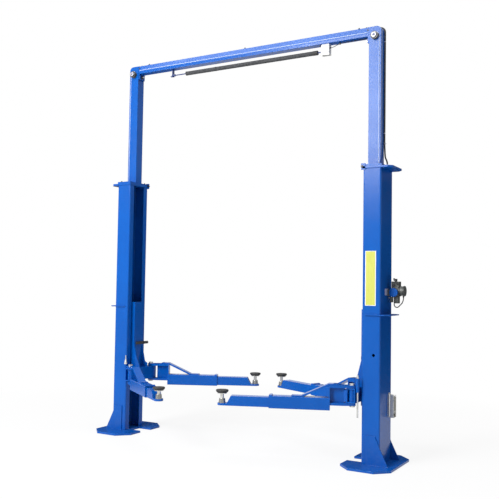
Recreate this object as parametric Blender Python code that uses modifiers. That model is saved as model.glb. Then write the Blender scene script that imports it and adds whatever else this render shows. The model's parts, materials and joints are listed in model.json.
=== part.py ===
"""Two post car lift with an overhead beam: two columns, a carriage in each and four swing arms."""

import math

import bmesh
import bpy
from mathutils import Matrix, Vector

# Clearances
SEAT = 0.0003
RUNNING = 0.002

# Columns: C sections that open towards each other
INSIDE_WIDTH = 2.82
COLUMN_DEPTH = 0.18
COLUMN_WIDTH = 0.32
COLUMN_TOP = 2.798
COLUMN_WALL = 0.008
COLUMN_LIP = 0.07
COLUMN_BEND = 0.014

# Round hole in the right column's front
HOLE_INSET = 0.115
HOLE_HEIGHT = 1.035
HOLE_RADIUS = 0.014

# Floor plates
BASE_THICKNESS = 0.022
BASE_INBOARD = 0.168
BASE_OUTBOARD = 0.328
BASE_LENGTH = 0.772
BASE_CHAMFER = 0.122
BASE_NOTCH_WIDTH = 0.185
GUSSET_THICKNESS = 0.010
GUSSET_TOP = 0.290
GUSSET_SHOULDER = 0.193
GUSSET_INSET = 0.045
GUSSET_FLAT = 0.092
GUSSET_TOE = 0.085

# Plates round the columns
TOP_PLATE_THICKNESS = 0.020
TOP_PLATE_INBOARD = 0.004
TOP_PLATE_OUTBOARD = 0.105
TOP_PLATE_OVERHANG = 0.006
TOP_PLATE_CHAMFER = 0.040
MID_PLATE_HEIGHT = 1.405
MID_PLATE_THICKNESS = 0.010
MID_PLATE_OUTBOARD = 0.085
MID_PLATE_OVERHANG = 0.016
MID_PLATE_CHAMFER = 0.045
MID_PLATE_REACH = 0.146

# Extension posts
TOTAL_HEIGHT = 4.20
EXTENSION_INSET = 0.007
EXTENSION_DEPTH = 0.124
EXTENSION_WIDTH = 0.102
EXTENSION_WALL = 0.006
EXTENSION_FLANGE = 0.020
EXTENSION_FLANGE_RIM = 0.003
EXTENSION_CORNER = 0.045

# Pulleys on the front of the extension posts' heads
PULLEY_DROP = 0.094
PULLEY_RADIUS = 0.038
PULLEY_WIDTH = 0.030
PULLEY_GROOVE = 0.008
PIN_RADIUS = 0.012
PIN_HEAD_RADIUS = 0.022
PIN_HEAD_THICKNESS = 0.010

# Overhead beam
BEAM_HEIGHT = 0.088
BEAM_WIDTH = 0.100
BEAM_WALL = 0.005
BEAM_CREASE = 0.006
BEAM_CREASE_DROP = 0.050
BEAM_END_THICKNESS = 0.014
BEAM_END_HEIGHT = 0.155
BEAM_END_OPENING = 0.050

# Limit bar below the beam
BAR_DROP = 0.069
BAR_RADIUS = 0.006
BAR_START = -0.975
BAR_PIVOT = -0.955
PAD_START = -0.770
PAD_END = 0.850
PAD_RADIUS = 0.022
SWITCH_START = 0.898
SWITCH_LENGTH = 0.086
SWITCH_HEIGHT = 0.108
SWITCH_WIDTH = 0.060
HANGER_WIDTH = 0.036
HANGER_THICKNESS = 0.008
HANGER_BELOW = 0.016

# Lift cylinders inside the columns
CYLINDER_RADIUS = 0.030
CYLINDER_TOP = 1.95
CYLINDER_BACK = 0.006

# Carriages
CARRIAGE_BOTTOM = 0.545
CARRIAGE_TOP = 1.458
CARRIAGE_DEPTH = 0.070
CARRIAGE_SIDE_GAP = 0.006
CARRIAGE_LIP_GAP = 0.006
CARRIAGE_NECK_GAP = 0.015
CARRIAGE_FACE = 0.038
CARRIAGE_SHEET = 0.012
GUIDE_LENGTH = 0.120
GUIDE_INSET = 0.010

# Arm pivots
PIVOT_INBOARD = 0.082
PIVOT_SPREAD = 0.374
BAR_HALF = 0.042
BAR_SHEET = 0.010
BOSS_RADIUS = 0.028
BOSS_LOW = 0.583
BOSS_HIGH = 0.720
PIVOT_PIN_RADIUS = 0.016
PIVOT_PIN_HEAD = 0.024
FLARE_THICKNESS = 0.012
FLARE_TOE = 0.036
# Front and rear rib: its knee out from the face, knee and toe above the cross bar, and its hollow's radius
FLARES = {-1: (0.037, 0.110, 0.022, 0.100), 1: (0.045, 0.062, 0.043, 0.030)}
BUMPER_HEIGHT = 0.992
BUMPER_SIZE = 0.030
BUMPER_START = -0.050
BUMPER_END = 0.095
BUMPER_DEPTH = 0.012
BUMPER_KNOB = 0.016
BUMPER_KNOB_LENGTH = 0.050

# Anchor of the levelling cable beside the right carriage's neck
ANCHOR_INBOARD = 0.023
ANCHOR_Y = -0.200
ANCHOR_RADIUS = 0.018
ANCHOR_LOW = 0.685
ANCHOR_TOP = 0.815
ANCHOR_WEB = 0.012
STUD_RADIUS = 0.008
STUD_LOW = 0.450
STUD_PROUD = 0.030
NUT_RADIUS = 0.014
NUT_HEIGHT = 0.014

# Swing arms
HEAD_PLATE = 0.024
HEAD_WIDTH = 0.096
HEAD_NOSE = 0.034
TUBE_START = 0.207
TUBE_END_SHARE = 0.278
TUBE_LOW = 0.510
TUBE_SIZE = 0.116
TUBE_WALL = 0.008
WEB_START = 0.078
WEB_THICKNESS = 0.012
STRAP_THICKNESS = 0.012
STRAP_WIDTH = 0.080
STRAP_START = 0.110
STRAP_RAMP = 0.030
STRAP_FOOT = 0.480
STRAP_TOE = 0.570
STOP_LENGTH = 0.030
STOP_HEIGHT = 0.009

# Inner arm tubes
INNER_CLEARANCE = 0.003
INNER_LENGTH_SHARE = 0.2305
INNER_SLANT = 0.050
INNER_NOSE = 0.040
INNER_WALL = 0.007
LUG_THICKNESS = 0.020
LUG_RADIUS = 0.056
LUG_COLLAR_RADIUS = 0.026
LUG_COLLAR_HEIGHT = 0.044
SCREW_RADIUS = 0.017
SCREW_BELOW = 0.004
PAD_RUBBER_RADIUS = 0.061
PAD_RUBBER_THICKNESS = 0.030
PAD_RUBBER_TOP = 0.664
PAD_CUP = 0.006

# Hose over the beam's right end and down the extension post
HOSE_RADIUS = 0.008
HOSE_START = 1.120
HOSE_SIDE = 0.043
HOSE_FLARE = 0.060
HOSE_FOOT_LEAN = 0.028
HOSE_REST_SHARES = (0.82, 0.62, 0.40, 0.16)

# Valve unit on the right column's outer face
UNIT_ABOVE_PLATE = 0.185
UNIT_HEIGHT = 0.138
UNIT_START = 0.042
UNIT_END = 0.110
UNIT_NEAR = 0.030
UNIT_FAR = 0.110
UNIT_FOOT_HEIGHT = 0.060
UNIT_KNOB_RADIUS = 0.010
UNIT_KNOB_HEIGHT = 0.026
COVER_OUT = 0.066
COVER_RAISED = 0.034
COVER_RADIUS = 0.042
COVER_THICKNESS = 0.026
DRUM_RAISED = 0.048
DRUM_RADIUS = 0.049
DRUM_LENGTH = 0.052
DRUM_RIM = 0.012
UNIT_HOSE_RADIUS = 0.005
UNIT_HOSE_DROP = 0.108
UNIT_HOSE_TURN = 0.026
UNIT_HOSE_BACK = 0.020

# Accessory holder on the right column's outer face
HOLDER_LOW = 0.436
HOLDER_HIGH = 0.667
HOLDER_MIDDLE = 0.100
HOLDER_WIDTH = 0.074
HOLDER_DEPTH = 0.058
HOLDER_SHEET = 0.004

# Each arm at rest: its direction in degrees from +X, its pad's distance from its pivot in inside widths, and
# how far its pad's screw is turned up
ARMS = {
    "right_front": (1, -1, 201.9, 0.4399, 0.0),
    "right_rear": (1, 1, 155.0, 0.4858, 0.010),
    "left_front": (-1, -1, -35.7, 0.3784, -0.010),
    "left_rear": (-1, 1, 25.6, 0.4330, 0.0),
}

INNER_FACE = INSIDE_WIDTH / 2
OUTER_FACE = INNER_FACE + COLUMN_DEPTH
HALF_COLUMN = COLUMN_WIDTH / 2
HALF_BASE = BASE_LENGTH / 2
OPENING_HALF = HALF_COLUMN - COLUMN_LIP
TUBE_TOP = TUBE_LOW + TUBE_SIZE
TUBE_END = TUBE_END_SHARE * INSIDE_WIDTH
INNER_LENGTH = INNER_LENGTH_SHARE * INSIDE_WIDTH
UNIT_LOW = MID_PLATE_HEIGHT + UNIT_ABOVE_PLATE
PULLEY_X = INNER_FACE + EXTENSION_INSET + EXTENSION_DEPTH / 2
PULLEY_Z = TOTAL_HEIGHT - PULLEY_DROP
EXTENSION_INNER = INNER_FACE + EXTENSION_INSET
BEAM_BOTTOM = TOTAL_HEIGHT - BEAM_HEIGHT
BEAM_HALF = EXTENSION_INNER - SEAT
BAR_Z = BEAM_BOTTOM - BAR_DROP
PIVOT_X = INNER_FACE - PIVOT_INBOARD
HALF_SPREAD = PIVOT_SPREAD / 2
FLARE_TOP = BUMPER_HEIGHT - BUMPER_SIZE / 2 - RUNNING
FLANGE_LOW = COLUMN_TOP + TOP_PLATE_THICKNESS + 2 * SEAT

for existing in list(bpy.data.objects):
    bpy.data.objects.remove(existing, do_unlink=True)

lift = bpy.data.collections.new("two_post_car_lift")
cutters = bpy.data.collections.new("cutters")
bpy.context.scene.collection.children.link(lift)
bpy.context.scene.collection.children.link(cutters)


def paint(name, colour, roughness, metallic=0.0):
    material = bpy.data.materials.new(name)
    material.use_nodes = True
    shader = material.node_tree.nodes["Principled BSDF"]
    shader.inputs["Base Color"].default_value = (*colour, 1.0)
    shader.inputs["Roughness"].default_value = roughness
    shader.inputs["Metallic"].default_value = metallic
    return material


def place(name, mesh, material=None, parent=None):
    """Puts a mesh in the lift as a visible piece, or among the cutters when it has no material."""
    piece = bpy.data.objects.new(name, mesh)
    if material is None:
        cutters.objects.link(piece)
        piece.hide_render = True
        piece.display_type = "WIRE"
    else:
        lift.objects.link(piece)
        mesh.materials.clear()
        mesh.materials.append(paint(name + "_finish", *material))
    piece.parent = parent
    return piece


def pivot(name, location, turn=0.0, parent=None):
    """An empty on a joint's axis, which carries the pieces that move about it."""
    empty = bpy.data.objects.new(name, None)
    lift.objects.link(empty)
    empty.location = location
    empty.rotation_euler = (0.0, 0.0, math.radians(turn))
    empty.parent = parent
    return empty


def box(low, high):
    """A box mesh between two corners, given in any order."""
    mesh = bpy.data.meshes.new("box")
    shape = bmesh.new()
    bmesh.ops.create_cube(shape, size=1.0)
    size = Vector([abs(b - a) for a, b in zip(low, high)])
    middle = Vector([(a + b) / 2 for a, b in zip(low, high)])
    stretch = Matrix.Translation(middle) @ Matrix.Diagonal((*size, 1.0))
    bmesh.ops.transform(shape, matrix=stretch, verts=shape.verts)
    shape.to_mesh(mesh)
    shape.free()
    return mesh


TURNS = {
    "Z": Matrix.Identity(4),
    "Y": Matrix.Rotation(math.radians(90), 4, "X"),
    "X": Matrix(((0, 0, 1, 0), (1, 0, 0, 0), (0, 1, 0, 0), (0, 0, 0, 1))),
}


def cylinder(centre, radius, low, high, along="Z", sides=32):
    """A round bar. The centre is given in the plane across it: XY for Z, XZ for Y, YZ for X."""
    mesh = bpy.data.meshes.new("round")
    shape = bmesh.new()
    ends = {"radius1": radius, "radius2": radius, "cap_ends": True}
    bmesh.ops.create_cone(shape, segments=sides, depth=high - low, **ends)
    middle = (low + high) / 2
    at = Vector((centre[0], centre[1], -middle if along == "Y" else middle))
    bmesh.ops.transform(shape, matrix=TURNS[along] @ Matrix.Translation(at), verts=shape.verts)
    shape.to_mesh(mesh)
    shape.free()
    mesh.shade_smooth()
    mesh.set_sharp_from_angle(angle=math.radians(40))
    return mesh


def outline(loops, low, high, along="Z"):
    """A flat outline, with any holes, drawn as a 2D curve and given its thickness along one axis."""
    curve = bpy.data.curves.new("outline", "CURVE")
    curve.dimensions = "2D"
    curve.fill_mode = "BOTH"
    curve.extrude = (high - low) / 2
    for loop in loops:
        spline = curve.splines.new("POLY")
        spline.points.add(len(loop) - 1)
        for point, (u, v) in zip(spline.points, loop):
            point.co = (u, v, 0.0, 1.0)
        spline.use_cyclic_u = True
    guide = bpy.data.objects.new("outline", curve)
    cutters.objects.link(guide)
    graph = bpy.context.evaluated_depsgraph_get()
    mesh = bpy.data.meshes.new_from_object(guide.evaluated_get(graph))
    bpy.data.objects.remove(guide, do_unlink=True)
    middle = (low + high) / 2
    shape = bmesh.new()
    shape.from_mesh(mesh)
    bmesh.ops.remove_doubles(shape, verts=shape.verts, dist=1e-6)
    at = Vector((0.0, 0.0, -middle if along == "Y" else middle))
    bmesh.ops.transform(shape, matrix=TURNS[along] @ Matrix.Translation(at), verts=shape.verts)
    bmesh.ops.recalc_face_normals(shape, faces=shape.faces)
    shape.to_mesh(mesh)
    shape.free()
    return mesh


def arc(centre, radius, start, end, steps):
    """Points along an arc, in degrees."""
    angles = [math.radians(start + (end - start) * step / steps) for step in range(steps + 1)]
    return [(centre[0] + radius * math.cos(a), centre[1] + radius * math.sin(a)) for a in angles]


def rounded(points, radii, steps=4):
    """The outline with each corner that has a radius turned into an arc."""
    path = []
    for index, corner in enumerate(points):
        radius = radii.get(index, 0.0)
        if radius == 0.0:
            path.append(corner)
            continue
        here = Vector(corner)
        back = (Vector(points[index - 1]) - here).normalized()
        ahead = (Vector(points[(index + 1) % len(points)]) - here).normalized()
        half = back.angle(ahead) / 2
        reach = radius / math.tan(half)
        middle = here + (back + ahead).normalized() * (radius / math.sin(half))
        first = here + back * reach - middle
        sweep = first.angle_signed(here + ahead * reach - middle)
        for step in range(steps + 1):
            turn = Matrix.Rotation(-sweep * step / steps, 2)
            path.append(tuple(middle + turn @ first))
    return path


def combine(piece, operation, meshes, solver="EXACT"):
    """Joins shapes to a piece, or cuts them from it, by Booleans."""
    for number, mesh in enumerate(meshes):
        helper = place(f"{piece.name}_{operation.lower()}_{number}", mesh, None, piece.parent)
        modifier = piece.modifiers.new(helper.name, "BOOLEAN")
        modifier.operation = operation
        modifier.solver = solver
        modifier.object = helper


def join(piece, *meshes, solver="EXACT"):
    combine(piece, "UNION", meshes, solver)


def cut(piece, *meshes, solver="EXACT"):
    combine(piece, "DIFFERENCE", meshes, solver)


BLUE = ((0.035, 0.17, 0.62), 0.35)
DARK_BLUE = ((0.02, 0.06, 0.30), 0.4)
ZINC = ((0.62, 0.62, 0.60), 0.35, 1.0)
RUBBER = ((0.03, 0.03, 0.03), 0.8)
FOAM = ((0.05, 0.055, 0.06), 0.9)
WHITE = ((0.85, 0.85, 0.85), 0.5)
GREY = ((0.22, 0.22, 0.23), 0.5, 0.3)


def mirrored(points, side):
    return [(side * x, y) for x, y in points]


def base_plate(name, side):
    """Floor plate with cut corners and a notch, and the two foot gussets welded to it."""
    inboard = INNER_FACE - BASE_INBOARD
    outboard = INNER_FACE + BASE_OUTBOARD
    notch = BASE_NOTCH_WIDTH / 2
    plan = [
        (inboard, -HALF_BASE + BASE_CHAMFER),
        (inboard + BASE_CHAMFER, -HALF_BASE),
        (outboard - BASE_CHAMFER, -HALF_BASE),
        (outboard, -HALF_BASE + BASE_CHAMFER),
        (outboard, HALF_BASE - BASE_CHAMFER),
        (outboard - BASE_CHAMFER, HALF_BASE),
        (inboard + BASE_CHAMFER, HALF_BASE),
        (inboard, HALF_BASE - BASE_CHAMFER),
        (inboard, notch),
        (INNER_FACE - COLUMN_WALL, notch),
        (INNER_FACE - COLUMN_WALL, -notch),
        (inboard, -notch),
    ]
    piece = place(name, outline([mirrored(plan, side)], 0.0, BASE_THICKNESS), BLUE)
    left = INNER_FACE + GUSSET_INSET
    foot = BASE_THICKNESS / 2
    gusset = [
        (left, foot),
        (left, GUSSET_TOP),
        (left + GUSSET_FLAT, GUSSET_TOP),
        (OUTER_FACE, GUSSET_SHOULDER),
        (OUTER_FACE + GUSSET_TOE, BASE_THICKNESS),
        (OUTER_FACE + GUSSET_TOE, foot),
    ]
    near = HALF_COLUMN + SEAT
    far = near + GUSSET_THICKNESS
    for low, high in ((near, far), (-far, -near)):
        join(piece, outline([mirrored(gusset, side)], low, high, "Y"))


def column(name, side):
    """C section with folded lips, open towards the other column."""
    mouth = OPENING_HALF
    wall = COLUMN_WALL
    bend = COLUMN_BEND
    section = [
        (INNER_FACE, -mouth),
        (INNER_FACE, -HALF_COLUMN),
        (OUTER_FACE, -HALF_COLUMN),
        (OUTER_FACE, HALF_COLUMN),
        (INNER_FACE, HALF_COLUMN),
        (INNER_FACE, mouth),
        (INNER_FACE + wall, mouth),
        (INNER_FACE + wall, HALF_COLUMN - wall),
        (OUTER_FACE - wall, HALF_COLUMN - wall),
        (OUTER_FACE - wall, -HALF_COLUMN + wall),
        (INNER_FACE + wall, -HALF_COLUMN + wall),
        (INNER_FACE + wall, -mouth),
    ]
    radii = {index: bend for index in (1, 2, 3, 4)}
    radii.update({index: bend - wall for index in (7, 8, 9, 10)})
    path = rounded(section, radii)
    piece = place(name, outline([mirrored(path, side)], BASE_THICKNESS + SEAT, COLUMN_TOP), BLUE)
    if side > 0:
        hole_at = (INNER_FACE + HOLE_INSET, HOLE_HEIGHT)
        cut(piece, cylinder(hole_at, HOLE_RADIUS, -HALF_COLUMN - wall, -HALF_COLUMN + 2 * wall, "Y", 16))


def top_plate(name, side):
    """Cap plate of the column, which stands out as a wing with cut corners on the outer side."""
    half = HALF_COLUMN + TOP_PLATE_OVERHANG
    out = OUTER_FACE + TOP_PLATE_OUTBOARD
    plan = [
        (INNER_FACE - TOP_PLATE_INBOARD, -half),
        (out - TOP_PLATE_CHAMFER, -half),
        (out, -half + TOP_PLATE_CHAMFER),
        (out, half - TOP_PLATE_CHAMFER),
        (out - TOP_PLATE_CHAMFER, half),
        (INNER_FACE - TOP_PLATE_INBOARD, half),
    ]
    low = COLUMN_TOP + SEAT
    place(name, outline([mirrored(plan, side)], low, low + TOP_PLATE_THICKNESS), BLUE)


def mid_plate(name, side):
    """Stiffening plate that wraps round the outer half of the column."""
    half = HALF_COLUMN + MID_PLATE_OVERHANG
    out = OUTER_FACE + MID_PLATE_OUTBOARD
    start = OUTER_FACE - MID_PLATE_REACH
    inner = HALF_COLUMN + SEAT
    back = OUTER_FACE + SEAT
    plan = [
        (start, -half),
        (out - MID_PLATE_CHAMFER, -half),
        (out, -half + MID_PLATE_CHAMFER),
        (out, half - MID_PLATE_CHAMFER),
        (out - MID_PLATE_CHAMFER, half),
        (start, half),
        (start, inner),
        (back, inner),
        (back, -inner),
        (start, -inner),
    ]
    path = rounded(plan, {7: COLUMN_BEND, 8: COLUMN_BEND})
    high = MID_PLATE_HEIGHT + MID_PLATE_THICKNESS
    place(name, outline([mirrored(path, side)], MID_PLATE_HEIGHT, high), BLUE)


def extension(name, side):
    """Box post on the cap plate, with a foot flange, a rounded head corner and a hole for the pin."""
    low = FLANGE_LOW
    inner = EXTENSION_INNER
    outer = inner + EXTENSION_DEPTH
    half = EXTENSION_WIDTH / 2
    wall = EXTENSION_WALL
    front = [(inner, low), (outer, low), (outer, TOTAL_HEIGHT), (inner, TOTAL_HEIGHT)]
    hollow = [
        (inner + wall, low - wall),
        (outer - wall, low - wall),
        (outer - wall, TOTAL_HEIGHT - wall),
        (inner + wall, TOTAL_HEIGHT - wall),
    ]
    outside = rounded(front, {2: EXTENSION_CORNER}, 6)
    piece = place(name, outline([mirrored(outside, side)], -half, half, "Y"), BLUE)
    rim = EXTENSION_FLANGE_RIM
    flange = box(
        (side * (INNER_FACE + rim), -HALF_COLUMN - rim, low),
        (side * (OUTER_FACE + rim), HALF_COLUMN + rim, low + EXTENSION_FLANGE),
    )
    join(piece, flange)
    inside = rounded(hollow, {2: EXTENSION_CORNER - wall}, 6)
    cut(piece, outline([mirrored(inside, side)], -half + wall, half - wall, "Y"))
    pin_hole = cylinder((side * PULLEY_X, PULLEY_Z), PIN_RADIUS + SEAT, -half - wall, half + wall, "Y", 24)
    cut(piece, pin_hole, solver="MANIFOLD")
    opening = BEAM_END_OPENING / 2
    middle = BEAM_BOTTOM + BEAM_HEIGHT / 2
    passage = box(
        (side * (inner - wall), -opening, middle - opening / 2),
        (side * (inner + 2 * wall), opening, middle + opening / 2),
    )
    cut(piece, passage, solver="MANIFOLD")


def turned(name, profile, material, parent=None):
    """A round piece turned about its parent's Y axis: the profile gives (radius, distance along Y)."""
    mesh = bpy.data.meshes.new("profile")
    shape = bmesh.new()
    points = [shape.verts.new((radius, along, 0.0)) for radius, along in profile]
    for first, second in zip(points, points[1:]):
        shape.edges.new((first, second))
    shape.to_mesh(mesh)
    shape.free()
    piece = place(name, mesh, material, parent)
    screw = piece.modifiers.new("turn", "SCREW")
    screw.axis = "Y"
    screw.steps = 32
    screw.render_steps = 32
    screw.use_merge_vertices = True
    screw.merge_threshold = 0.0001
    screw.use_smooth_shade = True
    return piece


def pulley(side_name, side):
    """Grooved wheel in front of the extension's head, turning on a pin that runs through the post."""
    face = EXTENSION_WIDTH / 2
    middle = -face - RUNNING - PULLEY_WIDTH / 2
    axle = pivot(f"{side_name}_pulley_axis", (side * PULLEY_X, middle, PULLEY_Z))
    half = PULLEY_WIDTH / 2
    bore = PIN_RADIUS + RUNNING / 2
    groove = PULLEY_RADIUS - PULLEY_GROOVE
    profile = [
        (bore, half),
        (PULLEY_RADIUS, half),
        (PULLEY_RADIUS, half * 0.75),
        (groove, half * 0.3),
        (groove, -half * 0.3),
        (PULLEY_RADIUS, -half * 0.75),
        (PULLEY_RADIUS, -half),
        (bore, -half),
        (bore, half),
    ]
    turned(f"pulley_{side_name}", profile, GREY, axle)
    head = middle - half - RUNNING
    nut = face + SEAT
    tail = nut + PIN_HEAD_THICKNESS + RUNNING
    centre = (side * PULLEY_X, PULLEY_Z)
    pin = place(f"pulley_pin_{side_name}", cylinder(centre, PIN_RADIUS, head - SEAT, tail, "Y", 24), ZINC)
    join(pin, cylinder(centre, PIN_HEAD_RADIUS, head - PIN_HEAD_THICKNESS, head, "Y", 24))
    join(pin, cylinder(centre, PIN_HEAD_RADIUS, nut, nut + PIN_HEAD_THICKNESS, "Y", 6))


def overhead_beam():
    """Hollow beam with a folded crease along each face and a bolting plate at each end."""
    top = TOTAL_HEIGHT
    half = BEAM_WIDTH / 2
    crease = top - BEAM_CREASE_DROP
    inset = half - BEAM_CREASE
    wall = BEAM_WALL
    section = [
        (-inset, top),
        (-half, crease),
        (-inset, BEAM_BOTTOM),
        (inset, BEAM_BOTTOM),
        (half, crease),
        (inset, top),
    ]
    hollow = [
        (-inset + wall, top - wall),
        (-half + wall, crease),
        (-inset + wall, BEAM_BOTTOM + wall),
        (inset - wall, BEAM_BOTTOM + wall),
        (half - wall, crease),
        (inset - wall, top - wall),
    ]
    piece = place("overhead_beam", outline([section], -BEAM_HALF, BEAM_HALF, "X"), BLUE)
    for side in (-1, 1):
        inner = side * (BEAM_HALF - BEAM_END_THICKNESS)
        join(piece, box((inner, -half, top - BEAM_END_HEIGHT), (side * BEAM_HALF, half, top)))
    reach = BEAM_HALF - BEAM_END_THICKNESS
    cut(piece, outline([hollow], -reach, reach, "X"))
    opening = BEAM_END_OPENING / 2
    middle = BEAM_BOTTOM + BEAM_HEIGHT / 2
    past = BEAM_HALF + wall
    cut(piece, box((-past, -opening, middle - opening / 2), (past, opening, middle + opening / 2)))


def limit_bar():
    """Padded bar below the beam, hinged at its left hanger, with a switch box at its free end."""
    swing = pivot("limit_bar_axis", (BAR_PIVOT, 0.0, BAR_Z))
    start = BAR_START - BAR_PIVOT
    end = SWITCH_START - 2 * RUNNING - BAR_PIVOT
    place("limit_bar", cylinder((0.0, 0.0), BAR_RADIUS, start, end, "X", 12), ZINC, swing)
    low = PAD_START - BAR_PIVOT
    high = PAD_END - BAR_PIVOT
    foam = place("limit_bar_padding", cylinder((0.0, 0.0), PAD_RADIUS, low, high, "X", 20), FOAM, swing)
    cut(foam, cylinder((0.0, 0.0), BAR_RADIUS + SEAT, low - PAD_RADIUS, high + PAD_RADIUS, "X", 12))
    thick = HANGER_THICKNESS / 2
    wide = HANGER_WIDTH / 2
    low_z = BAR_Z - HANGER_BELOW
    hanger = place(
        "limit_bar_hanger",
        box((BAR_PIVOT - thick, -wide, low_z), (BAR_PIVOT + thick, wide, BEAM_BOTTOM - SEAT)),
        DARK_BLUE,
    )
    past = 2 * thick
    cut(hanger, cylinder((0.0, BAR_Z), BAR_RADIUS + SEAT, BAR_PIVOT - past, BAR_PIVOT + past, "X", 12))
    high_z = BEAM_BOTTOM - SEAT
    place(
        "limit_switch_box",
        box(
            (SWITCH_START, -SWITCH_WIDTH / 2, high_z - SWITCH_HEIGHT),
            (SWITCH_START + SWITCH_LENGTH, SWITCH_WIDTH / 2, high_z),
        ),
        WHITE,
    )


def lift_cylinder(name, side):
    """Hydraulic cylinder that stands on the floor plate behind the carriage."""
    x = side * (OUTER_FACE - COLUMN_WALL - CYLINDER_BACK - CYLINDER_RADIUS)
    place(name, cylinder((x, 0.0), CYLINDER_RADIUS, BASE_THICKNESS + SEAT, CYLINDER_TOP, "Z", 24), DARK_BLUE)


def carriage(side_name, side):
    """Slide inside the column, with a neck through its mouth, a cross bar for two pivots and two ribs."""
    moving = pivot(f"{side_name}_carriage_axis", (side * INNER_FACE, 0.0, 0.0))
    slide_near = COLUMN_WALL + CARRIAGE_LIP_GAP
    slide_far = slide_near + CARRIAGE_DEPTH
    half = HALF_COLUMN - COLUMN_WALL - CARRIAGE_SIDE_GAP
    neck = OPENING_HALF - CARRIAGE_NECK_GAP
    piece = place(
        f"carriage_{side_name}",
        box((side * slide_near, -half, CARRIAGE_BOTTOM), (side * slide_far, half, CARRIAGE_TOP)),
        BLUE,
        moving,
    )
    face = -CARRIAGE_FACE
    root = slide_near + CARRIAGE_LIP_GAP
    join(piece, box((side * face, -neck, CARRIAGE_BOTTOM), (side * root, neck, CARRIAGE_TOP)))
    sheet = CARRIAGE_SHEET
    pocket = box(
        (side * (slide_near + sheet), -half + sheet, CARRIAGE_BOTTOM + sheet),
        (side * (slide_far + sheet), half - sheet, CARRIAGE_TOP - sheet),
    )
    cut(piece, pocket)
    neck_pocket = box(
        (side * (face + sheet), -neck + sheet, CARRIAGE_BOTTOM + sheet),
        (side * (slide_near + 2 * sheet), neck - sheet, CARRIAGE_TOP - sheet),
    )
    cut(piece, neck_pocket)
    guide_near = side * (COLUMN_WALL + SEAT)
    guide_far = side * (slide_near + sheet / 2)
    for edge in (-1, 1):
        rim = edge * (half - GUIDE_INSET)
        mouth = edge * (OPENING_HALF + GUIDE_INSET)
        for low in (CARRIAGE_BOTTOM, CARRIAGE_TOP - GUIDE_LENGTH):
            join(piece, box((guide_near, rim, low), (guide_far, mouth, low + GUIDE_LENGTH)))
    bar_near = -PIVOT_INBOARD + BAR_HALF
    bar_far = -PIVOT_INBOARD - BAR_HALF
    reach = HALF_SPREAD + BAR_HALF
    join(piece, box((side * bar_near, -reach, BOSS_LOW), (side * bar_far, reach, BOSS_HIGH)))
    join(piece, box((side * slide_near, -neck, BOSS_LOW), (-side * PIVOT_INBOARD, neck, BOSS_HIGH)))
    toe = -(PIVOT_INBOARD + FLARE_TOE)
    for end in (-1, 1):
        hollow = box(
            (side * (bar_near - BAR_SHEET), end * (neck + BAR_SHEET), BOSS_LOW + BAR_SHEET),
            (side * (bar_far + BAR_SHEET), end * (reach + BAR_SHEET), BOSS_HIGH - BAR_SHEET),
        )
        cut(piece, hollow)
        join(piece, cylinder((-side * PIVOT_INBOARD, end * HALF_SPREAD), BOSS_RADIUS, BOSS_LOW, BOSS_HIGH))
        knee, knee_height, toe_height, hollow_radius = FLARES[end]
        rib = [
            (face + sheet / 2, FLARE_TOP),
            (face + sheet / 2, BOSS_HIGH - BAR_SHEET / 2),
            (toe, BOSS_HIGH - BAR_SHEET / 2),
            (toe, BOSS_HIGH + toe_height),
            (face - knee, BOSS_HIGH + knee_height),
            (face, FLARE_TOP),
        ]
        rib = rounded(rib, {4: hollow_radius}, 4)
        edge = end * neck
        inner_edge = end * (neck - FLARE_THICKNESS)
        join(piece, outline([mirrored(rib, side)], min(edge, inner_edge), max(edge, inner_edge), "Y"))
    for end in (-1, 1):
        hole = cylinder(
            (-side * PIVOT_INBOARD, end * HALF_SPREAD),
            PIVOT_PIN_RADIUS + SEAT,
            BOSS_LOW - HEAD_PLATE,
            BOSS_HIGH + HEAD_PLATE,
        )
        cut(piece, hole)
    if side > 0:
        cable_anchor(piece, moving, side)
    bumper_low = BUMPER_HEIGHT - BUMPER_SIZE / 2
    bumper_near = face - SEAT
    bumper = place(
        f"door_bumper_{side_name}",
        box(
            (side * bumper_near, BUMPER_START, bumper_low),
            (side * (bumper_near - BUMPER_DEPTH), BUMPER_END, bumper_low + BUMPER_SIZE),
        ),
        RUBBER,
        moving,
    )
    knob_at = (side * (bumper_near - BUMPER_KNOB), BUMPER_HEIGHT)
    knob_end = BUMPER_END + BUMPER_KNOB_LENGTH
    join(bumper, cylinder(knob_at, BUMPER_KNOB, BUMPER_END - BUMPER_DEPTH, knob_end, "Y", 16))
    return moving


def cable_anchor(piece, moving, side):
    """Tube between the cross bar and the column, with the threaded stud that the levelling cable ends on."""
    at = (-side * ANCHOR_INBOARD, ANCHOR_Y)
    join(piece, cylinder(at, ANCHOR_RADIUS, ANCHOR_LOW, ANCHOR_TOP, "Z", 20))
    web = ANCHOR_WEB / 2
    bar_x = -side * (PIVOT_INBOARD - BAR_HALF + web)
    join(piece, box((at[0], ANCHOR_Y - web, ANCHOR_LOW), (bar_x, ANCHOR_Y + web, BOSS_HIGH - SEAT)))
    cut(piece, cylinder(at, STUD_RADIUS + SEAT, ANCHOR_LOW - web, ANCHOR_TOP + web, "Z", 16))
    high = ANCHOR_TOP + STUD_PROUD
    stud = place("cable_stud", cylinder(at, STUD_RADIUS, STUD_LOW, high, "Z", 16), ZINC, moving)
    nut_low = ANCHOR_TOP + SEAT
    join(stud, cylinder(at, NUT_RADIUS, nut_low, nut_low + NUT_HEIGHT, "Z", 6))


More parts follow.
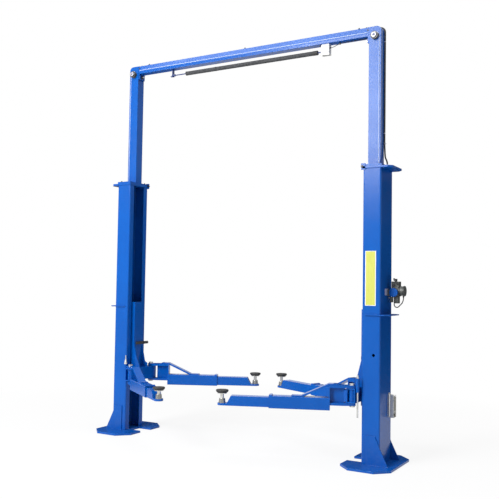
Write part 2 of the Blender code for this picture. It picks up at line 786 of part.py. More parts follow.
def pivot_pin(name, side, end, moving):
    """Pin that holds an arm's forked head to the carriage's boss, with a round head and a nut."""
    centre = (-side * PIVOT_INBOARD, end * HALF_SPREAD)
    head_top = BOSS_HIGH + RUNNING + HEAD_PLATE + SEAT
    foot = BOSS_LOW - RUNNING - HEAD_PLATE - SEAT
    shank = cylinder(centre, PIVOT_PIN_RADIUS, foot - 0.5 * HEAD_PLATE, head_top + SEAT, "Z", 32)
    pin = place(name, shank, ZINC, moving)
    join(pin, cylinder(centre, PIVOT_PIN_HEAD, head_top, head_top + 0.5 * HEAD_PLATE, "Z", 32))
    join(pin, cylinder(centre, PIVOT_PIN_HEAD, foot - 0.4 * HEAD_PLATE, foot, "Z", 6))


def swing_arm(arm, turn):
    """Outer arm: forked head, web, square tube set low, slanting strap and a stop bar at the open end."""
    head_low = BOSS_LOW - RUNNING - HEAD_PLATE
    head_high = BOSS_HIGH + RUNNING + HEAD_PLATE
    wide = HEAD_WIDTH / 2
    half = TUBE_SIZE / 2
    nose = arc((0.0, 0.0), HEAD_NOSE, 225, 135, 6)
    past = TUBE_START + WEB_THICKNESS
    plan = nose + [(WEB_START, wide), (past, wide), (past, -wide), (WEB_START, -wide)]
    piece = place(f"arm_{arm}", box((TUBE_START, -half, TUBE_LOW), (TUBE_END, half, TUBE_TOP)), BLUE, turn)
    join(piece, outline([plan], head_high - HEAD_PLATE, head_high))
    join(piece, outline([plan], head_low, head_low + HEAD_PLATE))
    web = WEB_THICKNESS / 2
    join(piece, box((TUBE_START, -wide, head_low), (TUBE_START + WEB_THICKNESS, wide, head_high)))
    join(piece, box((WEB_START, -web, head_low), (TUBE_START + web, web, head_high)))
    strap_half = STRAP_WIDTH / 2
    strap_high = head_high + STRAP_THICKNESS
    sunk = STRAP_THICKNESS / 2
    strap = [
        (STRAP_START, head_high),
        (STRAP_START + STRAP_RAMP, strap_high),
        (past, strap_high),
        (STRAP_FOOT, TUBE_TOP + STRAP_THICKNESS),
        (STRAP_TOE, TUBE_TOP + STRAP_THICKNESS),
        (STRAP_TOE, TUBE_TOP - sunk),
        (STRAP_FOOT - sunk, TUBE_TOP - sunk),
        (past - sunk / 2, head_high - sunk),
        (STRAP_START, head_high - sunk),
    ]
    join(piece, outline([strap], -strap_half, strap_half, "Y"))
    stop_start = TUBE_END - STOP_LENGTH
    hollow = half - TUBE_WALL
    join(piece, box((stop_start, -hollow, TUBE_TOP - sunk), (TUBE_END, hollow, TUBE_TOP + STOP_HEIGHT)))
    middle = TUBE_LOW + half
    cut(piece, box((past, -hollow, middle - hollow), (TUBE_END + hollow, hollow, middle + hollow)))
    bore = PIVOT_PIN_RADIUS + RUNNING / 2
    for low in (head_low, head_high - HEAD_PLATE):
        cut(piece, cylinder((0.0, 0.0), bore, low - HEAD_PLATE, low + 2 * HEAD_PLATE, "Z", 32))


def inner_arm(arm, turn, reach):
    """Inner tube with a slanted nose, and the flat lug with a threaded collar for the pad's screw."""
    out = pivot(f"{arm}_extension_axis", (reach, 0.0, 0.0), 0.0, turn)
    half = TUBE_SIZE / 2 - TUBE_WALL - INNER_CLEARANCE
    low = TUBE_LOW + TUBE_WALL + SEAT
    high = low + 2 * half
    nose = -INNER_NOSE
    side_view = [
        (nose - INNER_LENGTH, low),
        (nose, low),
        (nose - INNER_SLANT, high),
        (nose - INNER_LENGTH, high),
    ]
    piece = place(f"arm_extension_{arm}", outline([side_view], -half, half, "Y"), BLUE, out)
    wall = INNER_WALL
    open_end = nose - INNER_LENGTH - wall
    closed_end = nose - INNER_SLANT - wall
    cut(piece, box((open_end, -half + wall, low + wall), (closed_end, half - wall, high - wall)))
    lug_low = low
    lug_high = low + LUG_THICKNESS
    back = nose - INNER_SLANT
    plan = arc((0.0, 0.0), LUG_RADIUS * 0.8, -90, 90, 12) + [(back, half), (back, -half)]
    join(piece, outline([plan], lug_low, lug_high))
    collar_high = lug_high + LUG_COLLAR_HEIGHT
    join(piece, cylinder((0.0, 0.0), LUG_COLLAR_RADIUS, lug_high - wall, collar_high, "Z", 24))
    cut(piece, cylinder((0.0, 0.0), SCREW_RADIUS + SEAT, lug_low - wall, collar_high + wall, "Z", 24))
    return out, lug_low


def pad(arm, out, lug_low, turned_up):
    """Adjusting screw with a round cup, and the rubber pad on it."""
    lift_axis = pivot(f"{arm}_pad_axis", (0.0, 0.0, 0.0), 0.0, out)
    rubber_top = PAD_RUBBER_TOP + turned_up
    rubber_low = rubber_top - PAD_RUBBER_THICKNESS
    cup_low = rubber_low - PAD_CUP
    screw = place(
        f"pad_screw_{arm}",
        cylinder((0.0, 0.0), SCREW_RADIUS, lug_low - SCREW_BELOW, cup_low + PAD_CUP / 2, "Z", 24),
        ZINC,
        lift_axis,
    )
    join(screw, cylinder((0.0, 0.0), PAD_RUBBER_RADIUS * 0.75, cup_low, rubber_low - SEAT, "Z", 32))
    place(
        f"rubber_pad_{arm}",
        cylinder((0.0, 0.0), PAD_RUBBER_RADIUS, rubber_low, rubber_top, "Z", 32),
        RUBBER,
        lift_axis,
    )


def hose_run(name, points, radius, material):
    """A hose as a round tube along its route."""
    curve = bpy.data.curves.new(name, "CURVE")
    curve.dimensions = "3D"
    curve.bevel_depth = radius
    curve.bevel_resolution = 2
    curve.use_fill_caps = True
    spline = curve.splines.new("POLY")
    spline.points.add(len(points) - 1)
    for point, place_at in zip(spline.points, points):
        point.co = (*place_at, 1.0)
    hose = bpy.data.objects.new(name, curve)
    lift.objects.link(hose)
    curve.materials.append(paint(name + "_finish", *material))


def smooth(points, steps):
    """Points along a smooth curve through the route's own points."""
    path = []
    ends = [points[0]] + points + [points[-1]]
    for a, b, c, d in zip(ends, ends[1:], ends[2:], ends[3:]):
        for step in range(steps):
            t = step / steps
            point = []
            for p, q, r, s in zip(a, b, c, d):
                square = (2 * p - 5 * q + 4 * r - s) * t**2
                cube = (3 * q - p - 3 * r + s) * t**3
                point.append(q + ((r - p) * t + square + cube) / 2)
            path.append(tuple(point))
    path.append(points[-1])
    return path


def beam_hose():
    """Hydraulic hose that leaves the beam's top, rounds the right head and runs down the post."""
    lie = HOSE_RADIUS + 2 * SEAT
    top = TOTAL_HEIGHT + lie
    turn = EXTENSION_CORNER + lie
    beside = EXTENSION_INNER + EXTENSION_DEPTH + lie
    foot = FLANGE_LOW + EXTENSION_FLANGE + 2 * SEAT
    rise = TOTAL_HEIGHT - foot
    bend = [(x, HOSE_SIDE, z) for x, z in arc((beside - turn, top - turn), turn, 90, 0, 12)]
    start = [(HOSE_START, HOSE_SIDE, top), ((HOSE_START + beside - turn) / 2, HOSE_SIDE, top)]
    drop = [(beside, HOSE_SIDE, foot + share * rise) for share in HOSE_REST_SHARES]
    lean = HOSE_FOOT_LEAN
    flare = [
        (beside + 0.25 * lean, HOSE_SIDE, foot + 1.6 * HOSE_FLARE),
        (beside + 0.7 * lean, HOSE_SIDE, foot + HOSE_FLARE),
        (beside + lean, HOSE_SIDE, foot + 0.5 * HOSE_FLARE),
        (beside + lean, HOSE_SIDE, foot + 0.1 * HOSE_FLARE),
        (beside + lean, HOSE_SIDE, foot),
    ]
    hose_run("beam_hose", start + bend + drop[:-1] + smooth(drop[-1:] + flare, 3), HOSE_RADIUS, RUBBER)


def valve_unit():
    """Cast block on a foot, with a knob, a round cover, a drum on its outer end and a looped hose below."""
    wall = OUTER_FACE + SEAT
    near = OUTER_FACE + UNIT_START
    far = OUTER_FACE + UNIT_END
    high = UNIT_LOW + UNIT_HEIGHT
    middle = (near + far) / 2
    casting = place("valve_casting", box((near, UNIT_NEAR, UNIT_LOW), (far, UNIT_FAR, high)), GREY)
    join(casting, box((wall, UNIT_NEAR, UNIT_LOW), (middle, UNIT_FAR, UNIT_LOW + UNIT_FOOT_HEIGHT)))
    y = (UNIT_NEAR + UNIT_FAR) / 2
    join(casting, cylinder((middle, y), UNIT_KNOB_RADIUS, high - SEAT, high + UNIT_KNOB_HEIGHT, "Z", 16))
    cover_at = (OUTER_FACE + COVER_OUT, UNIT_LOW + COVER_RAISED)
    cover_high = UNIT_NEAR - SEAT
    cover_low = cover_high - COVER_THICKNESS
    place("valve_cover", cylinder(cover_at, COVER_RADIUS, cover_low, cover_high, "Y"), BLUE)
    drum_at = (y, UNIT_LOW + DRUM_RAISED)
    drum_low = far + SEAT
    drum_high = drum_low + DRUM_LENGTH
    waist = DRUM_RADIUS - DRUM_RIM / 3
    drum = place("valve_drum", cylinder(drum_at, waist, drum_low, drum_high, "X"), GREY)
    join(drum, cylinder(drum_at, DRUM_RADIUS, drum_high - DRUM_RIM, drum_high, "X"))
    hose_x = drum_low + DRUM_LENGTH * 0.6
    hose_high = drum_at[1] - waist - 3 * SEAT
    low = UNIT_LOW - UNIT_HOSE_DROP
    left = middle - UNIT_HOSE_BACK
    turn_at = (left + UNIT_HOSE_TURN, low + UNIT_HOSE_TURN)
    loop = [(x, y, z) for x, z in arc(turn_at, UNIT_HOSE_TURN, 180, 320, 10)]
    rise = [
        loop[-1],
        (hose_x - 0.014, y, low + 0.040),
        (hose_x - 0.003, y, low + 0.060),
        (hose_x, y, low + 0.082),
        (hose_x, y, hose_high),
    ]
    drop = [(left, y, UNIT_LOW - 2 * SEAT), (left, y, (UNIT_LOW + turn_at[1]) / 2)]
    hose_run("valve_hose", drop + loop[:-1] + smooth(rise, 4), UNIT_HOSE_RADIUS, RUBBER)


def accessory_holder():
    """Bright sheet holder with a round top, folded forward at both edges."""
    near = OUTER_FACE + SEAT
    half = HOLDER_WIDTH / 2
    left = HOLDER_MIDDLE - half
    right = HOLDER_MIDDLE + half
    crown = arc((HOLDER_MIDDLE, HOLDER_HIGH - half), half, 0, 180, 12)
    back = [(left, HOLDER_LOW), (right, HOLDER_LOW)] + crown
    piece = place("accessory_holder", outline([back], near, near + HOLDER_SHEET, "X"), ZINC)
    shoulder = HOLDER_HIGH - half
    for low, high in ((left, left + HOLDER_SHEET), (right - HOLDER_SHEET, right)):
        join(piece, box((near, low, HOLDER_LOW), (near + HOLDER_DEPTH, high, shoulder)))
    join(piece, box((near, left, HOLDER_LOW), (near + HOLDER_DEPTH, right, HOLDER_LOW + HOLDER_SHEET)))
    tube_at = (near + HOLDER_DEPTH * 0.55, HOLDER_MIDDLE)
    join(piece, cylinder(tube_at, HOLDER_DEPTH * 0.3, HOLDER_LOW + HOLDER_SHEET / 2, shoulder, "Z", 20))


for side_name, side in (("left", -1), ("right", 1)):
    base_plate(f"base_plate_{side_name}", side)
    column(f"column_{side_name}", side)
    top_plate(f"top_plate_{side_name}", side)
    mid_plate(f"mid_plate_{side_name}", side)
    extension(f"extension_{side_name}", side)
    pulley(side_name, side)
    lift_cylinder(f"lift_cylinder_{side_name}", side)
    moving = carriage(side_name, side)
    for arm, (arm_side, end, turn, reach, turned_up) in ARMS.items():
        if arm_side != side:
            continue
        pivot_pin(f"pivot_pin_{arm}", side, end, moving)
        swing = pivot(f"{arm}_swing_axis", (-side * PIVOT_INBOARD, end * HALF_SPREAD, 0.0), turn, moving)
        swing_arm(arm, swing)
        out, lug_low = inner_arm(arm, swing, reach * INSIDE_WIDTH)
        pad(arm, out, lug_low, turned_up)
overhead_beam()
limit_bar()
beam_hose()
valve_unit()
accessory_holder()
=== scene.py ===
import json
import math

import bmesh
import bpy
from mathutils import Matrix, Vector


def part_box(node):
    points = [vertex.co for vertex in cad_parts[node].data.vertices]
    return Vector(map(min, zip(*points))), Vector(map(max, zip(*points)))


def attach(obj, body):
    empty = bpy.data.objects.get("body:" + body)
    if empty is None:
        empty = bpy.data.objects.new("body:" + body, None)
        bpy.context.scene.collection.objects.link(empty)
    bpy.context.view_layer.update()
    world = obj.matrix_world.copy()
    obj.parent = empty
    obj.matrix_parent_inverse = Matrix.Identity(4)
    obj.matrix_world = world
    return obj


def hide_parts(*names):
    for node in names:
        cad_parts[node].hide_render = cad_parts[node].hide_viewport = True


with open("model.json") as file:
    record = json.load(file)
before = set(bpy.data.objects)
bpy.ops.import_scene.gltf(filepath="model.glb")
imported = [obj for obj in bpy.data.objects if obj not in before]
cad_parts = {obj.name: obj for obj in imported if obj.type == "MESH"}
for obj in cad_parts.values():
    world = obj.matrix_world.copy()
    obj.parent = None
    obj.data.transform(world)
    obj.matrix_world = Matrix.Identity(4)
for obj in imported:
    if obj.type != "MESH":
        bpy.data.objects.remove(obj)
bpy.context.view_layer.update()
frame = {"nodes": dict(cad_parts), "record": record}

scene = bpy.context.scene
scene.view_settings.view_transform = "Standard"
nodes = frame["nodes"]
body_of = {name: body for body, names in frame["record"]["behaviour"]["bodies"].items() for name in names}

SIDES = (("left", -1), ("right", 1))
ARMS = ("right_front", "right_rear", "left_front", "left_rear")
UP = (0, 0, 1)
DOWN = (0, 0, -1)
FRONT = (0, -1, 0)
OUTWARD = (1, 0, 0)

# Where the photograph was taken from
CAMERA_AT = (3.9531, -6.7220, 1.6772)
CAMERA_YAW = 0.5225
CAMERA_PITCH = 0.0478
CAMERA_ROLL = 0.0151
CAMERA_LENS = 53.03
SENSOR_WIDTH = 36.0
CLIP_END = 200.0

# Studio: each lamp's name, place, aim, width, height and power
LAMPS = (
    ("front panel", (-2.5, -9.5, 6.1), (-0.5, 0.0, 1.5), 3.2, 3.8, 740.0),
    ("high beam panel", (-5.0, -9.5, 10.4), (-4.4, 0.0, 4.1), 8.6, 2.8, 800.0),
    ("low beam panel", (-5.2, -9.5, 4.9), (-4.6, 0.0, 4.1), 6.0, 1.0, 150.0),
    ("top panel", (1.8, 0.0, 9.0), (0.6, 0.0, 0.0), 6.0, 4.0, 330.0),
)
# Corners of the dark boards behind the set and beside it
BOARDS = {
    "rear_left_board": ((-12.0, 8.5, 0.0), (-7.0, 8.55, 4.4)),
    "rear_right_board": ((-2.9, 8.5, 0.0), (5.9, 8.55, 4.4)),
    "right_board": ((2.0, 3.6, 0.0), (4.6, 3.65, 2.4)),
    "left_board": ((-4.70, -1.5, 0.0), (-4.65, 4.5, 0.7)),
}
BOARD_COLOUR = (0.02, 0.03, 0.05, 1.0)
BACKGROUND = (1.0, 1.0, 1.0, 1.0)
WORLD_LIGHT = 0.25
FLOOR_COLOUR = (0.88, 0.88, 0.88, 1.0)
FLOOR_REACH = 60.0
FADE_START = 2.0
FADE_END = 5.0
FADE_LEAST = 0.85

# Finishes
DUST_COLOUR = (0.30, 0.32, 0.36, 1.0)
BUMP_DISTANCE = 0.002

# Edges, folds and welds, in metres
FINE_EDGE = 0.0015
FOLD_EDGE = 0.007
POST_EDGE = 0.014
TUBE_EDGE = 0.008
BEAM_EDGE = 0.006
HANGER_EDGE = 0.001
COVER_EDGE = 0.004
WELD = 0.0035
WELD_PITCH = 0.006
WELD_WAVE = 0.22
WELD_TURN = 2.4
# Radius of the pale strips that paint highlights along edges
EDGE_HIGHLIGHT_RADIUS = 0.0032
TOUCH = 0.0003

# Heights of the folded edges of the tubes and the beam
OUTER_TUBE_LEVELS = (0.510, 0.626)
INNER_TUBE_LEVELS = (0.5183, 0.6123)
BEAM_LEVELS = (4.045, 4.200)
BEAM_CREASE = 4.150

# Heads of the posts
POST_FACE = -0.051
PIN_X = 1.479
CHEEK_INNER = 1.418
CHEEK_OUTER = 1.523
CHEEK_LOW = 2.8395
CHEEK_HIGH = 4.148
CHEEK_ROUND = 0.050
NUT_AT = (0.0, 4.078)
NUT_WASHER_X = 1.403
NUT_X = 1.400
STUD_X = 1.395
POST_BOLT_X = 1.405
POST_BOLT_Y = -0.046
POST_BOLT_Z = 4.172

# Places of the small parts
BEAM_STUDS = (-1.277, 0.006, 1.307)
BEAM_END_BOLT = 1.385
BEAM_BOLT_ROW = -0.030
# Reach and place of the pale strips that paint the highlight along the beam's creases
CREASE_HIGHLIGHT_END = 1.402
CREASE_HIGHLIGHT_Y = 0.0487
ANCHOR_AT = (-1.387, -0.200)
ANCHOR_LOW = 0.690
ANCHOR_RADIUS = 0.018
ANCHOR_HEIGHT = 0.075
ANCHOR_NUT_LOW = 0.7645
HOSE_TIES = ((1.548, 4.060), (1.548, 3.160), (1.556, 3.060))
HOSE_Y = 0.043
TIE_BORE = 0.0085
TIE_RADIUS = 0.0105
TIE_WIDTH = 0.006
BEAM_UNDERSIDE = 4.1117
BAR_Z = 4.043
FOAM_BANDS = (-0.772, -0.380, 0.020, 0.420)
FOAM_RADIUS = 0.0232
FLANGE_BOLTS = ((1.565, -0.13), (1.565, 0.13), (1.435, 0.13))
GUSSET_NEAR = 1.455
GUSSET_KNEE = 1.547
GUSSET_OUTER = 1.590
GUSSET_TOP = 0.195
GUSSET_FACE = 0.1605
BASE_TOP = 0.0225

# Folded edges stand at least so far out
COLUMN_FOLD_Y = 0.155
POST_FOLD_X = 1.53

# Corners closer than this are one, on the solids, on runs and on turned parts
SOLID_MERGE = 2e-5
RUN_MERGE = 1e-6
TURNED_MERGE = 1e-5

# Rubber pads and the sleeves below them
PAD_RIM = (
    (0.0, 0.0),
    (0.72, 0.0),
    (0.88, 0.22),
    (0.97, 0.45),
    (1.0, 0.62),
    (1.0, 0.86),
    (0.97, 0.97),
    (0.93, 1.0),
)
PAD_RINGS = 4
PAD_FIRST_RING = 0.88
PAD_RING_STEP = 0.18
PAD_GROOVE = 0.003
SLEEVE_LOW = 0.5185
SLEEVE_BORE = 0.0175
SLEEVE_FOOT = 0.0350
SLEEVE_TAPER = 0.0060
SLEEVE_TURNS = 11
SLEEVE_THREADED = 0.057
SLEEVE_TOP = 0.0645
SLEEVE_NECK = 0.0280
THREAD_START = 0.004
THREAD_LAND = 0.0035
THREAD_DEPTH = 0.0022
THREAD_STEP = 0.0050

# Label on the right column: corners in X and Z, and how far each layer stands out
MARGIN_LOW = (1.438, 1.497)
MARGIN_HIGH = (1.544, 2.012)
MARGIN_DEPTH = 0.0008
LABEL_LOW = (1.4455, 1.503)
LABEL_HIGH = (1.5365, 2.008)
LABEL_DEPTH = 0.0014
LABEL_EDGE = 0.0003

# Turned parts, as pairs of radius and distance along the axis
PIN_DISH = (
    (0.0, 0.001),
    (0.006, 0.001),
    (0.008, 0.003),
    (0.016, 0.003),
    (0.0195, 0.0015),
    (0.0215, -0.004),
    (0.0, -0.004),
)
ANCHOR_CONE = (
    (0.0, 0.0),
    (0.017, 0.0),
    (0.017, 0.010),
    (0.009, 0.052),
    (0.006, 0.054),
    (0.006, 0.098),
    (0.0, 0.100),
)
WASHER_BORE = 0.0225
WASHER_RADIUS = 0.034
WASHER_HEIGHT = 0.005
CROSS_LENGTH = 0.012
CROSS_WIDTH = 0.0015

# The switch box's cable, as pairs of X and Z
CABLE_RADIUS = 0.0035
CABLE_LEVEL = 4.073
CABLE_FREE = ((1.004, 4.074), (1.030, 4.080), (1.060, 4.092), (1.090, 4.100))
CABLE_MEETS = 1.130
CABLE_LIES = (1.200, 1.385)

CLIP_LOW = (1.083, -0.008, 4.092)
CLIP_HIGH = (1.099, 0.008, BEAM_UNDERSIDE - TOUCH)

# The limit bar's foot, as blocks from corner to corner with their edge, and its foam
BAR_FOOT = (
    ((-0.985, -0.014, 4.029), (-0.958, 0.014, 4.035), 0.0015),
    ((-0.952, -0.011, 4.034), (-0.926, 0.011, 4.056), 0.0025),
)
FOAM_END_X = 0.795
FOAM_END_LENGTH = 0.052
FOAM_BAND_WIDTH = 0.005

# Valve unit: plate and tag by corners in Y and Z, then blocks, bolts and lever
VALVE_Y = 0.070
VALVE_PLATE_LOW = (-0.040, 1.596)
VALVE_PLATE_HIGH = (0.050, 1.658)
VALVE_PLATE_DEPTH = 0.003
VALVE_TAG_LOW = (0.086, 1.562)
VALVE_TAG_HIGH = (0.106, 1.576)
VALVE_TAG_DEPTH = 0.016
VALVE_BLOCKS = (
    ((1.655, 0.045, 1.520), (1.695, 0.095, 1.5905), 0.004),
    ((1.618, 0.018, 1.530), (1.648, 0.042, 1.583), 0.003),
)
VALVE_CAP_AT = (1.6505, VALVE_Y, 1.735)
LEVER = ((1.652, 0.040, 1.752), (1.668, 0.026, 1.734), (1.692, 0.022, 1.702))
LEVER_RADIUS = 0.0055
LEVER_HUB_AT = (1.652, 0.048, 1.748)
LEVER_HUB_AXIS = (0, -0.5, 1)

# Valve hose, as pairs of X and Z
HOSE_DIAMETER = 0.010
HOSE_START = 1.646
HOSE_END = 1.7367
HOSE_START_NUT_Z = 1.590
HOSE_END_NUT_Z = 1.592
HOSE_LOW = 1.482
HOSE_TURN = 0.026
HOSE_RISE = ((1.7227, 1.522), (1.7317, 1.542), (1.7365, 1.562), (HOSE_END, 1.578), (HOSE_END, 1.5915))

# Bolts of the valve unit: place, direction, head and height
VALVE_BOLTS = (
    ((HOSE_START, VALVE_Y, HOSE_START_NUT_Z), DOWN, 0.008, 0.012),
    ((HOSE_END, VALVE_Y, HOSE_END_NUT_Z), DOWN, 0.008, 0.012),
    ((1.656, 0.031, 1.690), FRONT, 0.011, 0.010),
    ((1.682, 0.031, 1.715), FRONT, 0.008, 0.008),
)


def node(tree, kind, inputs=None, **settings):
    """A shader node with its settings, its constants and the links into it."""
    made = tree.nodes.new(kind)
    for name, value in settings.items():
        setattr(made, name, value)
    for name, value in (inputs or {}).items():
        socket = made.inputs[name]
        if isinstance(value, bpy.types.NodeSocket):
            tree.links.new(value, socket)
        else:
            socket.default_value = value
    return made


def group(name, inputs, outputs):
    """A shader node group with named sockets, and its two end nodes."""
    tree = bpy.data.node_groups.new(name, "ShaderNodeTree")
    for label, kind, default in inputs:
        socket = tree.interface.new_socket(label, in_out="INPUT", socket_type=kind)
        if default is not None:
            socket.default_value = default
    for label, kind in outputs:
        tree.interface.new_socket(label, in_out="OUTPUT", socket_type=kind)
    return tree, tree.nodes.new("NodeGroupInput"), tree.nodes.new("NodeGroupOutput")


def tone_group():
    """Slow changes of a finish's colour and gloss over a surface."""
    tree, given, out = group(
        "uneven_tone",
        [
            ("Colour", "NodeSocketColor", None),
            ("Shade", "NodeSocketColor", None),
            ("Scale", "NodeSocketFloat", 3.0),
            ("Amount", "NodeSocketFloat", 0.3),
            ("Gloss Low", "NodeSocketFloat", 0.25),
            ("Gloss High", "NodeSocketFloat", 0.4),
        ],
        [("Colour", "NodeSocketColor"), ("Roughness", "NodeSocketFloat")],
    )
    place = node(tree, "ShaderNodeTexCoord")
    slow = node(
        tree,
        "ShaderNodeTexNoise",
        {"Vector": place.outputs["Object"], "Scale": given.outputs["Scale"], "Detail": 4.0, "Roughness": 0.6},
    )
    spread = node(
        tree,
        "ShaderNodeMapRange",
        {"Value": slow.outputs["Fac"], "From Min": 0.35, "From Max": 0.65},
    )
    share = node(
        tree,
        "ShaderNodeMath",
        {0: spread.outputs["Result"], 1: given.outputs["Amount"]},
        operation="MULTIPLY",
    )
    mix = node(
        tree,
        "ShaderNodeMix",
        {"Factor": share.outputs[0], "A": given.outputs["Colour"], "B": given.outputs["Shade"]},
        data_type="RGBA",
    )
    gloss = node(
        tree,
        "ShaderNodeMapRange",
        {
            "Value": slow.outputs["Fac"],
            "From Min": 0.3,
            "From Max": 0.7,
            "To Min": given.outputs["Gloss Low"],
            "To Max": given.outputs["Gloss High"],
        },
    )
    tree.links.new(mix.outputs["Result"], out.inputs["Colour"])
    tree.links.new(gloss.outputs["Result"], out.inputs["Roughness"])
    return tree


def grain_group():
    """Fine relief of a surface, for a Bump node's height."""
    tree, given, out = group(
        "grain",
        [("Scale", "NodeSocketFloat", 400.0), ("Detail", "NodeSocketFloat", 2.0)],
        [("Height", "NodeSocketFloat")],
    )
    place = node(tree, "ShaderNodeTexCoord")
    fine = node(
        tree,
        "ShaderNodeTexNoise",
        {
            "Vector": place.outputs["Object"],
            "Scale": given.outputs["Scale"],
            "Detail": given.outputs["Detail"],
        },
    )
    tree.links.new(fine.outputs["Fac"], out.inputs["Height"])
    return tree


def grime_group():
    """Mask of dust low on the lift, thinning out with height and broken up by noise."""
    tree, given, out = group(
        "floor_dust",
        [("Reach", "NodeSocketFloat", 0.4), ("Amount", "NodeSocketFloat", 0.4)],
        [("Mask", "NodeSocketFloat")],
    )
    place = node(tree, "ShaderNodeTexCoord")
    axes = node(tree, "ShaderNodeSeparateXYZ", {"Vector": place.outputs["Object"]})
    low = node(
        tree,
        "ShaderNodeMapRange",
        {
            "Value": axes.outputs["Z"],
            "From Min": 0.0,
            "From Max": given.outputs["Reach"],
            "To Min": given.outputs["Amount"],
            "To Max": 0.0,
        },
    )
    patches = node(
        tree,
        "ShaderNodeTexNoise",
        {"Vector": place.outputs["Object"], "Scale": 22.0, "Detail": 6.0, "Roughness": 0.7},
    )
    broken = node(
        tree,
        "ShaderNodeMapRange",
        {"Value": patches.outputs["Fac"], "From Min": 0.4, "From Max": 0.72},
    )
    mask = node(
        tree,
        "ShaderNodeMath",
        {0: low.outputs["Result"], 1: broken.outputs["Result"]},
        operation="MULTIPLY",
    )
    tree.links.new(mask.outputs[0], out.inputs["Mask"])
    return tree


TONE = tone_group()
GRAIN = grain_group()
GRIME = grime_group()


def finish(name, colour, shade, gloss, scale, amount, grain, relief, dust=0.0, metallic=0.0, shine=0.5):
    """A finish with uneven tone, its own grain and, near the floor, dust."""
    material = bpy.data.materials.new(name)
    material.use_nodes = True
    tree = material.node_tree
    shader = tree.nodes["Principled BSDF"]
    tone = node(tree, "ShaderNodeGroup", node_tree=TONE)
    tone.inputs["Colour"].default_value = (*colour, 1.0)
    tone.inputs["Shade"].default_value = (*shade, 1.0)
    tone.inputs["Scale"].default_value = scale
    tone.inputs["Amount"].default_value = amount
    tone.inputs["Gloss Low"].default_value = gloss[0]
    tone.inputs["Gloss High"].default_value = gloss[1]
    surface = tone.outputs["Colour"]
    if dust:
        low = node(tree, "ShaderNodeGroup", node_tree=GRIME)
        low.inputs["Amount"].default_value = dust
        settled = node(
            tree,
            "ShaderNodeMix",
            {"Factor": low.outputs["Mask"], "A": surface, "B": DUST_COLOUR},
            data_type="RGBA",
        )
        surface = settled.outputs["Result"]
    tree.links.new(surface, shader.inputs["Base Color"])
    tree.links.new(tone.outputs["Roughness"], shader.inputs["Roughness"])
    shader.inputs["Metallic"].default_value = metallic
    shader.inputs["Specular IOR Level"].default_value = shine
    fine = node(tree, "ShaderNodeGroup", node_tree=GRAIN)
    fine.inputs["Scale"].default_value = grain
    bump = node(
        tree,
        "ShaderNodeBump",
        {"Height": fine.outputs["Height"], "Strength": relief, "Distance": BUMP_DISTANCE},
    )
    tree.links.new(bump.outputs["Normal"], shader.inputs["Normal"])
    return material


blue_paint = finish(
    "blue_gloss_paint",
    colour=(0.001, 0.094, 0.430),
    shade=(0.001, 0.076, 0.365),
    gloss=(0.16, 0.26),
    scale=2.2,
    amount=0.6,
    grain=260.0,
    relief=0.004,
    dust=0.06,
    shine=0.21,
)
inner_paint = finish(
    "dark_blue_paint",
    colour=(0.010, 0.040, 0.200),
    shade=(0.006, 0.022, 0.110),
    gloss=(0.35, 0.5),
    scale=4.0,
    amount=0.7,
    grain=260.0,
    relief=0.05,
    dust=0.3,
)
zinc = finish(
    "bright_zinc",
    colour=(0.68, 0.68, 0.66),
    shade=(0.46, 0.45, 0.42),
    gloss=(0.24, 0.40),
    scale=30.0,
    amount=0.6,
    grain=900.0,
    relief=0.03,
    metallic=0.9,
)
sleeve_steel = finish(
    "sleeve_steel",
    colour=(0.46, 0.46, 0.44),
    shade=(0.24, 0.24, 0.22),
    gloss=(0.26, 0.42),
    scale=30.0,
    amount=0.7,
    grain=900.0,
    relief=0.03,
    metallic=0.9,
)
dark_steel = finish(
    "oiled_steel",
    colour=(0.06, 0.06, 0.065),
    shade=(0.02, 0.02, 0.022),
    gloss=(0.3, 0.5),
    scale=25.0,
    amount=0.6,
    grain=700.0,
    relief=0.05,
    metallic=0.6,
)
casting = finish(
    "cast_aluminium",
    colour=(0.105, 0.11, 0.105),
    shade=(0.045, 0.052, 0.045),
    gloss=(0.4, 0.6),
    scale=18.0,
    amount=0.8,
    grain=500.0,
    relief=0.25,
    metallic=0.5,
)
rubber = finish(
    "black_rubber",
    colour=(0.020, 0.020, 0.021),
    shade=(0.045, 0.045, 0.045),
    gloss=(0.55, 0.75),
    scale=14.0,
    amount=0.5,
    grain=600.0,
    relief=0.15,
)
foam = finish(
    "grey_foam",
    colour=(0.070, 0.072, 0.078),
    shade=(0.030, 0.032, 0.036),
    gloss=(0.8, 0.95),
    scale=40.0,
    amount=0.8,
    grain=900.0,
    relief=0.4,
)
white_plastic = finish(
    "white_plastic",
    colour=(0.80, 0.80, 0.80),
    shade=(0.70, 0.71, 0.72),
    gloss=(0.35, 0.5),
    scale=8.0,
    amount=0.4,
    grain=800.0,
    relief=0.04,
)
# Pale blue of the thin strips along the cheek edges and the beam's creases: a painted highlight of those
# edges.
painted_edge_highlight = finish(
    "painted_edge_highlight",
    colour=(0.50, 0.60, 0.80),
    shade=(0.40, 0.50, 0.72),
    gloss=(0.25, 0.40),
    scale=14.0,
    amount=0.6,
    grain=700.0,
    relief=0.03,
)
pale_plate = finish(
    "pale_plate",
    colour=(0.42, 0.44, 0.62),
    shade=(0.34, 0.36, 0.52),
    gloss=(0.35, 0.5),
    scale=12.0,
    amount=0.6,
    grain=600.0,
    relief=0.04,
)
yellow_plate = finish(
    "yellow_plate",
    colour=(0.56, 0.58, 0.10),
    shade=(0.52, 0.52, 0.07),
    gloss=(0.4, 0.55),
    scale=6.0,
    amount=0.5,
    grain=500.0,
    relief=0.02,
)
hose_rubber = finish(
    "hose_rubber",
    colour=(0.016, 0.016, 0.017),
    shade=(0.035, 0.035, 0.036),
    gloss=(0.4, 0.6),
    scale=30.0,
    amount=0.5,
    grain=900.0,
    relief=0.1,
)


